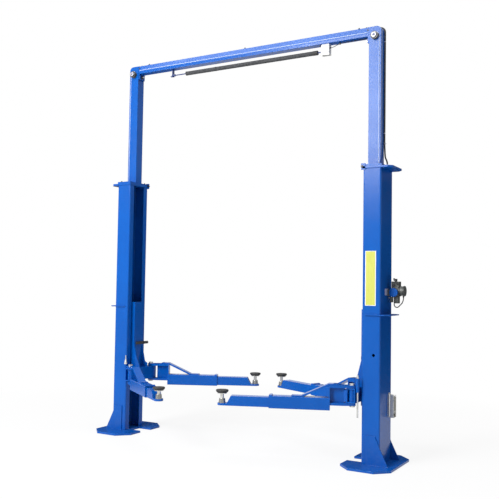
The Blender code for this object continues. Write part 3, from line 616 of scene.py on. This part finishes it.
def piece(name, shape, body, material, smooth=30.0):
    """Turns a bmesh into a shown piece on a body, with edges sharper than an angle kept crisp."""
    mesh = bpy.data.meshes.new(name)
    shape.to_mesh(mesh)
    shape.free()
    mesh.shade_smooth()
    mesh.set_sharp_from_angle(angle=math.radians(smooth))
    mesh.materials.append(material)
    made = bpy.data.objects.new(name, mesh)
    scene.collection.objects.link(made)
    level = made.modifiers.new("flat_faces", "WEIGHTED_NORMAL")
    level.keep_sharp = True
    level.weight = 100
    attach(made, body)
    return made


def sharp_edges(shape, least=30.0):
    """The edges whose two faces turn by more than an angle."""
    return [
        edge
        for edge in shape.edges
        if len(edge.link_faces) == 2 and edge.calc_face_angle() > math.radians(least)
    ]


def ease(shape, edges, width, segments=2):
    """Rounds edges off."""
    bmesh.ops.bevel(
        shape,
        geom=edges,
        offset=width,
        offset_type="OFFSET",
        segments=segments,
        profile=0.5,
        affect="EDGES",
        clamp_overlap=True,
        material=-1,
    )


def solid_of(name):
    """The CAD piece's mesh as a bmesh with its flat faces whole."""
    shape = bmesh.new()
    shape.from_mesh(nodes[name].data)
    bmesh.ops.remove_doubles(shape, verts=shape.verts, dist=SOLID_MERGE)
    bmesh.ops.dissolve_limit(shape, angle_limit=math.radians(0.5), verts=shape.verts, edges=shape.edges)
    return shape


def edge_run(edge):
    """An edge's middle and the vector along it."""
    start, end = (corner.co for corner in edge.verts)
    return (start + end) / 2, end - start


def eased(name, width, material, fold=0.0, folded=None):
    """Shows a CAD piece with its hard edges eased. A test picks the folded edges, which are rounder."""
    shape = solid_of(name)
    if folded:
        picked = [edge for edge in sharp_edges(shape, 60.0) if folded(*edge_run(edge))]
        ease(shape, picked, fold, segments=4)
    ease(shape, sharp_edges(shape), width)
    made = piece(f"{name}_painted", shape, body_of[name], material, 40.0)
    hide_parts(name)


def upright(least, reach):
    """Test for long upright edges that stand at least so far from the lift's middle plane."""
    return lambda at, run: abs(run.z) > least and abs(run.z) > 0.99 * run.length and abs(at.y) > reach


def outboard(side, reach):
    """Test for long upright edges on a post's outboard side."""
    return lambda at, run: abs(run.z) > 1.0 and abs(run.z) > 0.99 * run.length and at.x * side > reach


def along_tube(levels, least=0.3):
    """Test for long level edges at given heights, which are a square tube's corners."""
    return lambda at, run: (
        run.length > least
        and abs(run.z) < 0.01 * run.length
        and min(abs(at.z - level) for level in levels) < 0.002
    )


def from_curve(curve):
    """A curve's surface as a bmesh, with its doubles merged and its faces outward."""
    guide = bpy.data.objects.new("guide", curve)
    scene.collection.objects.link(guide)
    mesh = bpy.data.meshes.new_from_object(guide)
    bpy.data.objects.remove(guide)
    shape = bmesh.new()
    shape.from_mesh(mesh)
    bpy.data.meshes.remove(mesh)
    bmesh.ops.remove_doubles(shape, verts=shape.verts, dist=RUN_MERGE)
    bmesh.ops.recalc_face_normals(shape, faces=shape.faces)
    return shape


def plate(points, near, far):
    """A flat plate across Y, from its outline in X and Z."""
    curve = bpy.data.curves.new("outline", "CURVE")
    curve.dimensions = "2D"
    curve.fill_mode = "BOTH"
    curve.extrude = abs(far - near) / 2
    line = curve.splines.new("POLY")
    line.points.add(len(points) - 1)
    for point, (across, along) in zip(line.points, points):
        point.co = (across, along, 0.0, 1.0)
    line.use_cyclic_u = True
    shape = from_curve(curve)
    bmesh.ops.rotate(shape, verts=shape.verts, matrix=Matrix.Rotation(math.radians(90), 3, "X"))
    bmesh.ops.translate(shape, verts=shape.verts, vec=(0.0, (near + far) / 2, 0.0))
    return shape


def tube(points, radius, roundness=2, widths=None):
    """A round run along points, wider or narrower at each point where widths are given."""
    curve = bpy.data.curves.new("run", "CURVE")
    curve.dimensions = "3D"
    curve.bevel_depth = radius
    curve.bevel_resolution = roundness
    curve.use_fill_caps = True
    line = curve.splines.new("POLY")
    line.points.add(len(points) - 1)
    for point, at, width in zip(line.points, points, widths or [1.0] * len(points)):
        point.co = (*at, 1.0)
        point.radius = width
    return from_curve(curve)


def turned(centre, axis, profile, steps=32):
    """A bmesh turned about an axis through a centre. The profile gives (radius, distance along the axis)."""
    along = Vector(axis).normalized()
    across = along.orthogonal().normalized()
    shape = bmesh.new()
    points = [shape.verts.new(Vector(centre) + across * radius + along * far) for radius, far in profile]
    edges = [shape.edges.new(pair) for pair in zip(points, points[1:])]
    bmesh.ops.spin(
        shape,
        geom=points + edges,
        cent=centre,
        axis=along,
        angle=math.tau,
        steps=steps,
        use_merge=True,
    )
    bmesh.ops.remove_doubles(shape, verts=shape.verts, dist=TURNED_MERGE)
    bmesh.ops.recalc_face_normals(shape, faces=shape.faces)
    return shape


def disc(radius, height, foot=0.0, rim=0.0):
    """Profile of a solid disc, with eased edges at its foot and its rim."""
    low = [(radius - foot, 0.0), (radius, foot)] if foot else [(radius, 0.0)]
    high = [(radius, height - rim), (radius - rim, height)] if rim else [(radius, height)]
    return [(0.0, 0.0), *low, *high, (0.0, height)]


def ring(inner, outer, height, rim=0.0):
    """Profile of a flat ring, with an eased outer edge."""
    high = [(outer, height - rim), (outer - rim, height)] if rim else [(outer, height)]
    return [(inner, 0.0), (outer, 0.0), *high, (inner, height), (inner, 0.0)]


def stub(at, axis, radius, length, rim=0.0015, steps=24):
    """A short round bar with a rounded rim, from a point along an axis."""
    return turned(at, axis, disc(radius, length, rim=rim), steps)


def block(low, high, edge=0.0):
    """A box between two corners, with eased edges where a width is given."""
    shape = bmesh.new()
    bmesh.ops.create_cube(shape, size=1.0)
    size = [abs(b - a) for a, b in zip(low, high)]
    middle = Vector([(a + b) / 2 for a, b in zip(low, high)])
    stretch = Matrix.Translation(middle) @ Matrix.Diagonal((*size, 1.0))
    bmesh.ops.transform(shape, matrix=stretch, verts=shape.verts)
    if edge:
        ease(shape, shape.edges[:], edge)
    return shape


def gathered(shapes):
    """Several bmeshes as one."""
    whole = bmesh.new()
    for shape in shapes:
        mesh = bpy.data.meshes.new("part")
        shape.to_mesh(mesh)
        shape.free()
        whole.from_mesh(mesh)
        bpy.data.meshes.remove(mesh)
    return whole


def facing(at, axis):
    """The matrix that stands a shape made along +Z on a point, along an axis."""
    return Matrix.Translation(at) @ Vector(axis).to_track_quat("Z", "Y").to_matrix().to_4x4()


def hex_bolt(at, axis, head, height):
    """A hexagon head with eased corners on a round washer, standing on a face."""
    washer = 0.25 * height
    shape = bmesh.new()
    bmesh.ops.create_cone(shape, cap_ends=True, segments=6, radius1=head, radius2=head, depth=height)
    bmesh.ops.translate(shape, verts=shape.verts, vec=(0.0, 0.0, height / 2 + washer))
    ease(shape, shape.edges[:], head * 0.1, segments=1)
    under = turned((0.0, 0.0, 0.0), UP, disc(head * 1.25, washer), 20)
    whole = gathered([shape, under])
    bmesh.ops.transform(whole, matrix=facing(at, axis), verts=whole.verts)
    return whole


def bead(name, corners):
    """A weld bead along a run of corners, with the small waves of its passes."""
    path = []
    for start, end in zip(corners, corners[1:]):
        run = Vector(end) - Vector(start)
        count = max(2, round(run.length / WELD_PITCH))
        path += [Vector(start).lerp(Vector(end), step / count) for step in range(count)]
    path.append(Vector(corners[-1]))
    widths = [1.0 + WELD_WAVE * math.sin(index * WELD_TURN) for index in range(len(path))]
    piece(name, tube(path, WELD, 1, widths), "structure", blue_paint, 80.0)


def add_camera():
    """Camera at the photograph's place and angle."""
    data = bpy.data.cameras.new("camera")
    data.lens = CAMERA_LENS
    data.sensor_width = SENSOR_WIDTH
    data.clip_end = CLIP_END
    camera = bpy.data.objects.new("camera", data)
    scene.collection.objects.link(camera)
    level = Matrix.Rotation(math.radians(90) + CAMERA_PITCH, 4, "X")
    aim = Matrix.Rotation(CAMERA_YAW, 4, "Z") @ level @ Matrix.Rotation(CAMERA_ROLL, 4, "Z")
    camera.matrix_world = Matrix.Translation(CAMERA_AT) @ aim
    scene.camera = camera


def add_lamp(name, at, aim, width, height, power):
    """A soft panel lamp that points at a place."""
    data = bpy.data.lights.new(name, "AREA")
    data.shape = "RECTANGLE"
    data.size = width
    data.size_y = height
    data.energy = power
    lamp = bpy.data.objects.new(name, data)
    scene.collection.objects.link(lamp)
    lamp.location = at
    lamp.rotation_euler = (Vector(aim) - Vector(at)).to_track_quat("-Z", "Y").to_euler()


def background_ray(tree):
    """1 for the rays that meet the plain white background: the camera's own, mirrored and passed on."""
    ray = node(tree, "ShaderNodeLightPath")
    seen = ray.outputs["Is Camera Ray"]
    for kind in ("Is Glossy Ray", "Is Transmission Ray"):
        either = node(tree, "ShaderNodeMath", {0: seen, 1: ray.outputs[kind]}, operation="MAXIMUM")
        seen = either.outputs[0]
    return seen


def bare_material(name):
    """A material with an empty node tree, and that tree."""
    material = bpy.data.materials.new(name)
    material.use_nodes = True
    material.node_tree.nodes.clear()
    return material, material.node_tree


def studio_piece(name, shape, material):
    """An object of the studio from a bmesh."""
    mesh = bpy.data.meshes.new(name)
    shape.to_mesh(mesh)
    shape.free()
    mesh.materials.append(material)
    made = bpy.data.objects.new(name, mesh)
    scene.collection.objects.link(made)
    return made


def add_world():
    """Even studio light, with a white background behind the lift."""
    world = bpy.data.worlds.new("studio")
    scene.world = world
    world.use_nodes = True
    tree = world.node_tree
    tree.nodes.clear()
    strength = node(
        tree,
        "ShaderNodeMapRange",
        {"Value": background_ray(tree), "To Min": WORLD_LIGHT, "To Max": 1.0},
    )
    light = node(
        tree,
        "ShaderNodeBackground",
        {"Color": BACKGROUND, "Strength": strength.outputs["Result"]},
    )
    node(tree, "ShaderNodeOutputWorld", {"Surface": light.outputs[0]})


def add_floor():
    """Pale floor that keeps the lift's shadow and fades to the white background."""
    material, tree = bare_material("studio_floor")
    place = node(tree, "ShaderNodeTexCoord")
    distance = node(tree, "ShaderNodeVectorMath", {0: place.outputs["Object"]}, operation="LENGTH")
    fade = node(
        tree,
        "ShaderNodeMapRange",
        {
            "Value": distance.outputs["Value"],
            "From Min": FADE_START,
            "From Max": FADE_END,
            "To Min": FADE_LEAST,
            "To Max": 1.0,
        },
    )
    share = node(
        tree,
        "ShaderNodeMath",
        {0: background_ray(tree), 1: fade.outputs["Result"]},
        operation="MULTIPLY",
    )
    pale = node(tree, "ShaderNodeBsdfDiffuse", {"Color": FLOOR_COLOUR})
    white = node(tree, "ShaderNodeEmission", {"Color": BACKGROUND, "Strength": 1.0})
    both = node(
        tree,
        "ShaderNodeMixShader",
        {"Fac": share.outputs[0], 1: pale.outputs[0], 2: white.outputs[0]},
    )
    node(tree, "ShaderNodeOutputMaterial", {"Surface": both.outputs[0]})
    shape = bmesh.new()
    bmesh.ops.create_grid(shape, x_segments=1, y_segments=1, size=FLOOR_REACH)
    floor = studio_piece("floor", shape, material)


def add_boards():
    """Dark studio boards out of the picture, which the lift's steep and level faces mirror."""
    material, tree = bare_material("dark_board")
    cloth = node(tree, "ShaderNodeBsdfDiffuse", {"Color": BOARD_COLOUR})
    node(tree, "ShaderNodeOutputMaterial", {"Surface": cloth.outputs[0]})
    for name, (low, high) in BOARDS.items():
        board = studio_piece(name, block(low, high), material)
        board.visible_camera = False


def dress_steelwork():
    """Rounded folds, eased edges and paint on everything that is blue."""
    for side_name, side in SIDES:
        eased(f"column_{side_name}", FINE_EDGE, blue_paint, FOLD_EDGE, upright(2.0, COLUMN_FOLD_Y))
        for kind in ("base_plate", "top_plate", "mid_plate"):
            eased(f"{kind}_{side_name}", FINE_EDGE, blue_paint)
        eased(f"extension_{side_name}", FINE_EDGE, blue_paint, POST_EDGE, outboard(side, POST_FOLD_X))
        eased(f"carriage_{side_name}", FINE_EDGE, blue_paint)
        eased(f"lift_cylinder_{side_name}", FINE_EDGE, inner_paint)
    for arm in ARMS:
        eased(f"arm_{arm}", FINE_EDGE, blue_paint, TUBE_EDGE, along_tube(OUTER_TUBE_LEVELS))
        eased(f"arm_extension_{arm}", FINE_EDGE, blue_paint, TUBE_EDGE, along_tube(INNER_TUBE_LEVELS))
    eased("overhead_beam", FINE_EDGE, blue_paint, BEAM_EDGE, along_tube(BEAM_LEVELS, 2.0))
    eased("limit_bar_hanger", HANGER_EDGE, inner_paint)
    eased("valve_cover", COVER_EDGE, blue_paint)


def dress_hardware():
    """Finishes of the pins, pulleys, hoses and the other small CAD pieces, by how their names start."""
    finishes = {
        "pulley_pin": zinc,
        "pulley": dark_steel,
        "pivot_pin": zinc,
        "cable_stud": zinc,
        "limit_bar_padding": foam,
        "limit_bar": inner_paint,
        "limit_switch_box": white_plastic,
        "accessory_holder": zinc,
        "door_bumper": rubber,
        "beam_hose": hose_rubber,
        "valve_hose": hose_rubber,
        "valve_casting": casting,
        "valve_drum": casting,
        "pad_screw": zinc,
        "rubber_pad": rubber,
    }
    for name, made in nodes.items():
        start = next((start for start in finishes if name.startswith(start)), None)
        if start is None:
            continue
        for place in made.material_slots:
            place.material = finishes[start]


def rubber_pad(arm):
    """Round rubber pad with a rounded rim, a bevelled underside and rings moulded into its top."""
    name = f"rubber_pad_{arm}"
    low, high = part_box(name)
    middle = ((low.x + high.x) / 2, (low.y + high.y) / 2, low.z)
    radius = (high.x - low.x) / 2
    tall = high.z - low.z
    profile = [(radius * across, tall * up) for across, up in PAD_RIM]
    for index in range(PAD_RINGS):
        outer = radius * (PAD_FIRST_RING - PAD_RING_STEP * index)
        profile += [
            (outer, tall),
            (outer - 0.002, tall - PAD_GROOVE),
            (outer - 0.005, tall - PAD_GROOVE),
            (outer - 0.007, tall),
        ]
    profile.append((0.0, tall))
    made = piece(f"moulded_pad_{arm}", turned(middle, UP, profile, 48), body_of[name], rubber, 35.0)
    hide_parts(name)


def pad_sleeve(arm):
    """Bright threaded cone between an arm's lug and its pad's screw."""
    low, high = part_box(f"pad_screw_{arm}")
    middle = ((low.x + high.x) / 2, (low.y + high.y) / 2)
    profile = [(SLEEVE_BORE, 0.0), (SLEEVE_FOOT, 0.0), (SLEEVE_FOOT + 0.001, 0.003)]
    for turn in range(SLEEVE_TURNS):
        share = turn / SLEEVE_TURNS
        radius = SLEEVE_FOOT - SLEEVE_TAPER * share
        tall = THREAD_START + SLEEVE_THREADED * share
        profile += [
            (radius, tall),
            (radius, tall + THREAD_LAND),
            (radius - THREAD_DEPTH, tall + THREAD_STEP),
        ]
    profile += [(SLEEVE_NECK, SLEEVE_TOP - 0.002), (SLEEVE_NECK - 0.001, SLEEVE_TOP)]
    profile += [(SLEEVE_BORE, SLEEVE_TOP), (SLEEVE_BORE, 0.0)]
    shape = turned((*middle, SLEEVE_LOW), UP, profile, 36)
    piece(f"pad_sleeve_{arm}", shape, body_of[f"arm_extension_{arm}"], sleeve_steel, 25.0)


def pin_caps(arm):
    """The bright head and the retaining nut of an arm's pivot pin."""
    low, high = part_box(f"pivot_pin_{arm}")
    middle = ((low.x + high.x) / 2, (low.y + high.y) / 2)
    radius = (high.x - low.x) / 2
    over = radius + 0.002
    head = [(0.0, 0.0), (over, 0.0), (over, 0.004), (over - 0.003, 0.006), (0.0, 0.006)]
    wide = radius + 0.001
    nut = [(0.0, 0.0), (wide - 0.004, 0.0), (wide, 0.002), (wide, 0.006), (0.0, 0.006)]
    ends = [
        turned((*middle, high.z - 0.001), UP, head, 32),
        turned((*middle, low.z - 0.002), UP, nut, 32),
    ]
    piece(f"pin_ends_{arm}", gathered(ends), body_of[f"pivot_pin_{arm}"], zinc)


def label_plate():
    """Blank yellow plate with a white margin on the right column's front."""
    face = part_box("column_right")[0].y
    layers = (
        ("plate_margin", MARGIN_LOW, MARGIN_HIGH, MARGIN_DEPTH, white_plastic),
        ("blank_plate", LABEL_LOW, LABEL_HIGH, LABEL_DEPTH, yellow_plate),
    )
    for name, (left, low), (right, high), depth, material in layers:
        shape = block((left, face - depth, low), (right, face + TOUCH, high), LABEL_EDGE)
        piece(name, shape, "structure", material)


def beam_bolts():
    """Bolts of the beam's end plates and the three studs on its top."""
    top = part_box("overhead_beam")[1].z
    shapes = []
    for _, side in SIDES:
        shapes.append(hex_bolt((side * BEAM_END_BOLT, BEAM_BOLT_ROW, top), UP, head=0.008, height=0.006))
    for x in BEAM_STUDS:
        shapes.append(hex_bolt((x, BEAM_BOLT_ROW, top - TOUCH), UP, head=0.011, height=0.007))
        shapes.append(stub((x, BEAM_BOLT_ROW, top), UP, radius=0.006, length=0.015))
    piece("beam_bolts", gathered(shapes), "structure", dark_steel)


def head_cheek(side_name, side):
    """The plate that holds a pulley pin, with a rounded outer corner and a pale strip along its edge, which
    is a painted highlight.
    """
    corner = [math.radians(step * 15) for step in range(7)]
    round_x = CHEEK_OUTER - CHEEK_ROUND
    round_z = CHEEK_HIGH - CHEEK_ROUND
    outline = [(side * CHEEK_INNER, CHEEK_LOW), (side * (CHEEK_INNER + 0.0005), CHEEK_HIGH)]
    outline += [
        (side * (round_x + CHEEK_ROUND * math.sin(turn)), round_z + CHEEK_ROUND * math.cos(turn))
        for turn in corner
    ]
    outline.append((side * CHEEK_OUTER, CHEEK_LOW))
    cheek = plate(outline, POST_FACE - 0.003, POST_FACE + TOUCH)
    piece(f"pin_cheek_{side_name}", cheek, "structure", blue_paint)
    run = [(x, POST_FACE - 0.002, z) for x, z in outline[2:]]
    piece(f"cheek_edge_{side_name}", tube(run, EDGE_HIGHLIGHT_RADIUS), "structure", painted_edge_highlight, 60.0)


def head_pin(side_name, side):
    """Washer, dished face and cross slot on the front end of a pulley pin."""
    low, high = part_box(f"pulley_pin_{side_name}")
    x = side * PIN_X
    z = (low.z + high.z) / 2
    flat = ring(WASHER_BORE, WASHER_RADIUS, WASHER_HEIGHT, rim=0.001)
    washer = turned((x, POST_FACE - 0.001, z), FRONT, flat, 40)
    face = turned((x, low.y + 0.001, z), FRONT, PIN_DISH, 40)
    slots = [
        block((x - across, low.y - 0.0035, z - up), (x + across, low.y - 0.001, z + up))
        for across, up in ((CROSS_LENGTH, CROSS_WIDTH), (CROSS_WIDTH, CROSS_LENGTH))
    ]
    # One washer in two finishes: dark steel on the left paints shade on the less lit head, grey steel on the
    # right.
    washer_steel = dark_steel if side < 0 else sleeve_steel
    piece(f"pin_washer_{side_name}", washer, "structure", washer_steel)
    piece(f"pin_face_{side_name}", face, "structure", pale_plate)
    piece(f"pin_cross_{side_name}", gathered(slots), "structure", dark_steel)


def head_bolts(side_name, side):
    """Bolt on the post's front and the nut, washer and stud inboard of the beam's end plate."""
    inboard = (-side, 0, 0)
    nuts = [
        hex_bolt((side * POST_BOLT_X, POST_BOLT_Y, POST_BOLT_Z), FRONT, head=0.008, height=0.007),
        stub((side * NUT_WASHER_X, *NUT_AT), inboard, radius=0.022, length=0.004),
        hex_bolt((side * NUT_X, *NUT_AT), inboard, head=0.0155, height=0.009),
    ]
    piece(f"head_bolts_{side_name}", gathered(nuts), "structure", dark_steel)
    end = stub((side * STUD_X, *NUT_AT), inboard, radius=0.0085, length=0.018)
    piece(f"head_stud_{side_name}", end, "structure", zinc)


def heads():
    """The posts' heads."""
    for side_name, side in SIDES:
        head_cheek(side_name, side)
        head_pin(side_name, side)
        head_bolts(side_name, side)


def beam_crease_highlights():
    """Rounded pale strip along the crease on each side of the overhead beam, which paints the crease's
    highlight.
    """
    for end, end_name in ((-1, "front"), (1, "rear")):
        run = [(x, end * CREASE_HIGHLIGHT_Y, BEAM_CREASE) for x in (-CREASE_HIGHLIGHT_END, 0.0, CREASE_HIGHLIGHT_END)]
        piece(f"beam_crease_highlight_{end_name}", tube(run, EDGE_HIGHLIGHT_RADIUS), "structure", painted_edge_highlight, 60.0)


def left_anchor():
    """Cable anchor on the left carriage's front pivot tube: a tube on a web, with its cone nut and stud."""
    x, y = ANCHOR_AT
    held = [
        turned((x, y, ANCHOR_LOW), UP, disc(ANCHOR_RADIUS, ANCHOR_HEIGHT), 28),
        block((x + 0.010, y - 0.006, 0.694), (x + 0.052, y + 0.010, 0.745), 0.001),
    ]
    piece("left_anchor_tube", gathered(held), "left_carriage", blue_paint)
    nut = turned((x, y, ANCHOR_NUT_LOW), UP, ANCHOR_CONE, 28)
    piece("left_anchor_nut", nut, "left_carriage", zinc)


def hose_ties():
    """Cable ties that hold the long hose to the right post, each with its lock."""
    ties = []
    band = ring(TIE_BORE, TIE_RADIUS, TIE_WIDTH)
    for x, z in HOSE_TIES:
        ties.append(turned((x, HOSE_Y, z - TIE_WIDTH / 2), UP, band, 20))
        ties.append(block((x + 0.006, 0.030, z - 0.004), (x + 0.014, 0.036, z + 0.004), 0.001))
    piece("hose_ties", gathered(ties), "structure", white_plastic)


def switch_box():
    """The switch box's rim, lid and fittings, and its cable with a clip below the beam."""
    low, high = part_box("limit_switch_box")
    rim = block(
        (low.x - 0.002, low.y - 0.002, low.z - 0.0005),
        (high.x + 0.002, high.y + 0.002, low.z + 0.010),
        0.002,
    )
    lid = block(
        (low.x + 0.006, low.y - 0.003, low.z + 0.016),
        (high.x - 0.006, low.y + TOUCH, high.z - 0.010),
        0.0015,
    )
    fittings = [
        stub((x, low.y - 0.002, z), FRONT, radius=0.0035, length=0.0025, rim=0.0008, steps=12)
        for x in (low.x + 0.013, high.x - 0.013)
        for z in (low.z + 0.024, high.z - 0.018)
    ]
    fittings.append(stub((high.x - TOUCH, 0.0, CABLE_LEVEL), OUTWARD, radius=0.007, length=0.012))
    fittings.append(hex_bolt((0.885, -0.010, 4.1115), DOWN, head=0.008, height=0.008))
    piece("switch_box_rim", rim, "structure", zinc)
    piece("switch_box_lid", lid, "structure", white_plastic)
    piece("switch_box_fittings", gathered(fittings), "structure", dark_steel)
    lie = BEAM_UNDERSIDE - 0.005
    route = [(high.x + 0.011, CABLE_LEVEL), *CABLE_FREE, (CABLE_MEETS, lie - 0.001)]
    route += [(x, lie) for x in CABLE_LIES]
    cable = tube([(x, 0.0, z) for x, z in route], CABLE_RADIUS)
    piece("switch_cable", cable, "structure", hose_rubber, 80.0)
    piece("cable_clip", block(CLIP_LOW, CLIP_HIGH, 0.003), "structure", hose_rubber)


def limit_bar_ends():
    """The limit bar's foot at its hanger, and the end and the bands of its foam."""
    foot = [block(low, high, edge) for low, high, edge in BAR_FOOT]
    piece("bar_foot", gathered(foot), body_of["limit_bar"], inner_paint)
    inner = FOAM_RADIUS - 0.0007
    wrap = [
        (0.0, 0.0),
        (inner, 0.0),
        (FOAM_RADIUS, 0.002),
        (FOAM_RADIUS, FOAM_END_LENGTH - 0.002),
        (inner, FOAM_END_LENGTH),
        (0.0, FOAM_END_LENGTH),
    ]
    sleeve = turned((FOAM_END_X, 0.0, BAR_Z), OUTWARD, wrap, 28)
    piece("foam_end", sleeve, body_of["limit_bar_padding"], rubber)
    band = disc(FOAM_RADIUS, FOAM_BAND_WIDTH)
    bands = [turned((x, 0.0, BAR_Z), OUTWARD, band, 28) for x in FOAM_BANDS]
    piece("foam_bands", gathered(bands), body_of["limit_bar_padding"], rubber)


def valve_fittings():
    """The valve unit's mounting plate, tag, blocks, pipe fittings, lever and the rims of its drum."""
    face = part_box("column_right")[1].x
    flats = (
        ("valve_plate", VALVE_PLATE_LOW, VALVE_PLATE_HIGH, VALVE_PLATE_DEPTH, 0.001, pale_plate),
        ("valve_tag", VALVE_TAG_LOW, VALVE_TAG_HIGH, VALVE_TAG_DEPTH, 0.002, white_plastic),
    )
    for name, start, end, depth, edge, material in flats:
        flat = block((face - TOUCH, *start), (face + depth, *end), edge)
        piece(name, flat, "structure", material)
    blocks = [block(low, high, edge) for low, high, edge in VALVE_BLOCKS]
    blocks.append(stub(VALVE_CAP_AT, UP, radius=0.012, length=0.018, rim=0.004))
    piece("valve_blocks", gathered(blocks), "structure", casting)
    fittings = [hex_bolt(at, axis, head, height) for at, axis, head, height in VALVE_BOLTS]
    fittings.append(tube(LEVER, LEVER_RADIUS))
    fittings.append(stub(LEVER_HUB_AT, LEVER_HUB_AXIS, radius=0.008, length=0.012, rim=0.003))
    piece("valve_fittings", gathered(fittings), "structure", dark_steel)
    low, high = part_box("valve_drum")
    radius = (high.z - low.z) / 2
    inner = radius - 0.002
    outer = radius + 0.0015
    profile = [(inner, 0.0), (outer, 0.001), (outer, 0.005), (inner, 0.006)]
    rims = [
        turned((x, (low.y + high.y) / 2, (low.z + high.z) / 2), OUTWARD, profile, 40)
        for x in (low.x + 0.004, high.x - 0.010)
    ]
    piece("drum_rims", gathered(rims), "structure", dark_steel)


def valve_hose():
    """The short hose that hangs in a loop below the valve unit, on the solid's route."""
    route = [(HOSE_START, 1.5895), (HOSE_START, 1.549)]
    for step in range(0, 141, 14):
        turn = math.radians(step)
        across = HOSE_START + HOSE_TURN - HOSE_TURN * math.cos(turn)
        route.append((across, HOSE_LOW + HOSE_TURN - HOSE_TURN * math.sin(turn)))
    points = [(across, VALVE_Y, tall) for across, tall in (*route, *HOSE_RISE)]
    shape = tube(points, HOSE_DIAMETER / 2, 3)
    made = piece("valve_hose_rubber", shape, "structure", hose_rubber, 80.0)
    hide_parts("valve_hose")


def holder_fittings():
    """Screws, rail, dome and knob of the accessory holder on the right column."""
    low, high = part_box("accessory_holder")
    knob_at = (high.x - 0.006, low.y + 0.012, low.z + 0.030)
    knob = stub(knob_at, OUTWARD, radius=0.011, length=0.012, rim=0.003)
    screws = [
        stub((high.x - 0.0005, y, z), OUTWARD, radius=0.006, length=0.004, steps=16)
        for y in (low.y + 0.020, high.y - 0.020)
        for z in (low.z + 0.060, high.z - 0.025)
    ]
    rail_at = (low.x + 0.014, low.y + 0.003, low.z + 0.012)
    rail = stub(rail_at, UP, radius=0.0085, length=0.206, rim=0.003)
    dome_at = (high.x - 0.020, low.y + 0.016, high.z - 0.030)
    dome = turned(dome_at, FRONT, disc(0.019, 0.014, foot=0.002, rim=0.002), 32)
    piece("holder_knob", knob, "structure", rubber)
    piece("holder_rail", gathered([rail, dome]), "structure", zinc)
    piece("holder_screws", gathered(screws), "structure", zinc)


def cap_ears():
    """Bolted ear at the inner corner of each cap plate, and the flange bolts beside the posts."""
    bolts = []
    ears = []
    for (side_name, side), end in zip(SIDES, (1, -1)):
        low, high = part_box(f"top_plate_{side_name}")
        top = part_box(f"extension_{side_name}")[0].z + 0.020
        inner = side * min(abs(low.x), abs(high.x))
        y = end * (high.y - 0.004)
        ear = block(
            (inner - side * 0.016, y - 0.004, low.z - 0.012),
            (inner + side * 0.030, y + 0.004, top + 0.010),
            0.002,
        )
        ears.append(ear)
        for way in (end, -end):
            at = (inner - side * 0.004, y + way * 0.004, (low.z + top) / 2)
            bolts.append(hex_bolt(at, (0, way, 0), head=0.011, height=0.009))
        for x, across in FLANGE_BOLTS:
            bolts.append(hex_bolt((side * x, across, top - TOUCH), UP, head=0.010, height=0.008))
            bolts.append(stub((side * x, across, top), UP, radius=0.005, length=0.014))
    piece("cap_ears", gathered(ears), "structure", blue_paint)
    piece("cap_bolts", gathered(bolts), "structure", dark_steel)


def welds():
    """Weld beads where the gussets meet the columns and the base plates."""
    for side_name, side in SIDES:
        near = side * GUSSET_NEAR
        knee = side * GUSSET_KNEE
        outer = side * GUSSET_OUTER
        for end, end_name in ((-1, "front"), (1, "rear")):
            face = end * GUSSET_FACE
            corners = [(near, face, BASE_TOP), (knee, face, BASE_TOP), (outer, face, GUSSET_TOP)]
            bead(f"gusset_weld_{side_name}_{end_name}", corners)
        bead(f"foot_weld_{side_name}", [(side * 1.412, y, BASE_TOP) for y in (-0.158, -0.060)])


add_camera()
add_world()
add_floor()
add_boards()
for lamp in LAMPS:
    add_lamp(*lamp)

dress_steelwork()
dress_hardware()
for arm in ARMS:
    rubber_pad(arm)
    pad_sleeve(arm)
    pin_caps(arm)
label_plate()
beam_bolts()
heads()
beam_crease_highlights()
left_anchor()
hose_ties()
switch_box()
limit_bar_ends()
valve_fittings()
valve_hose()
holder_fittings()
cap_ears()
welds()
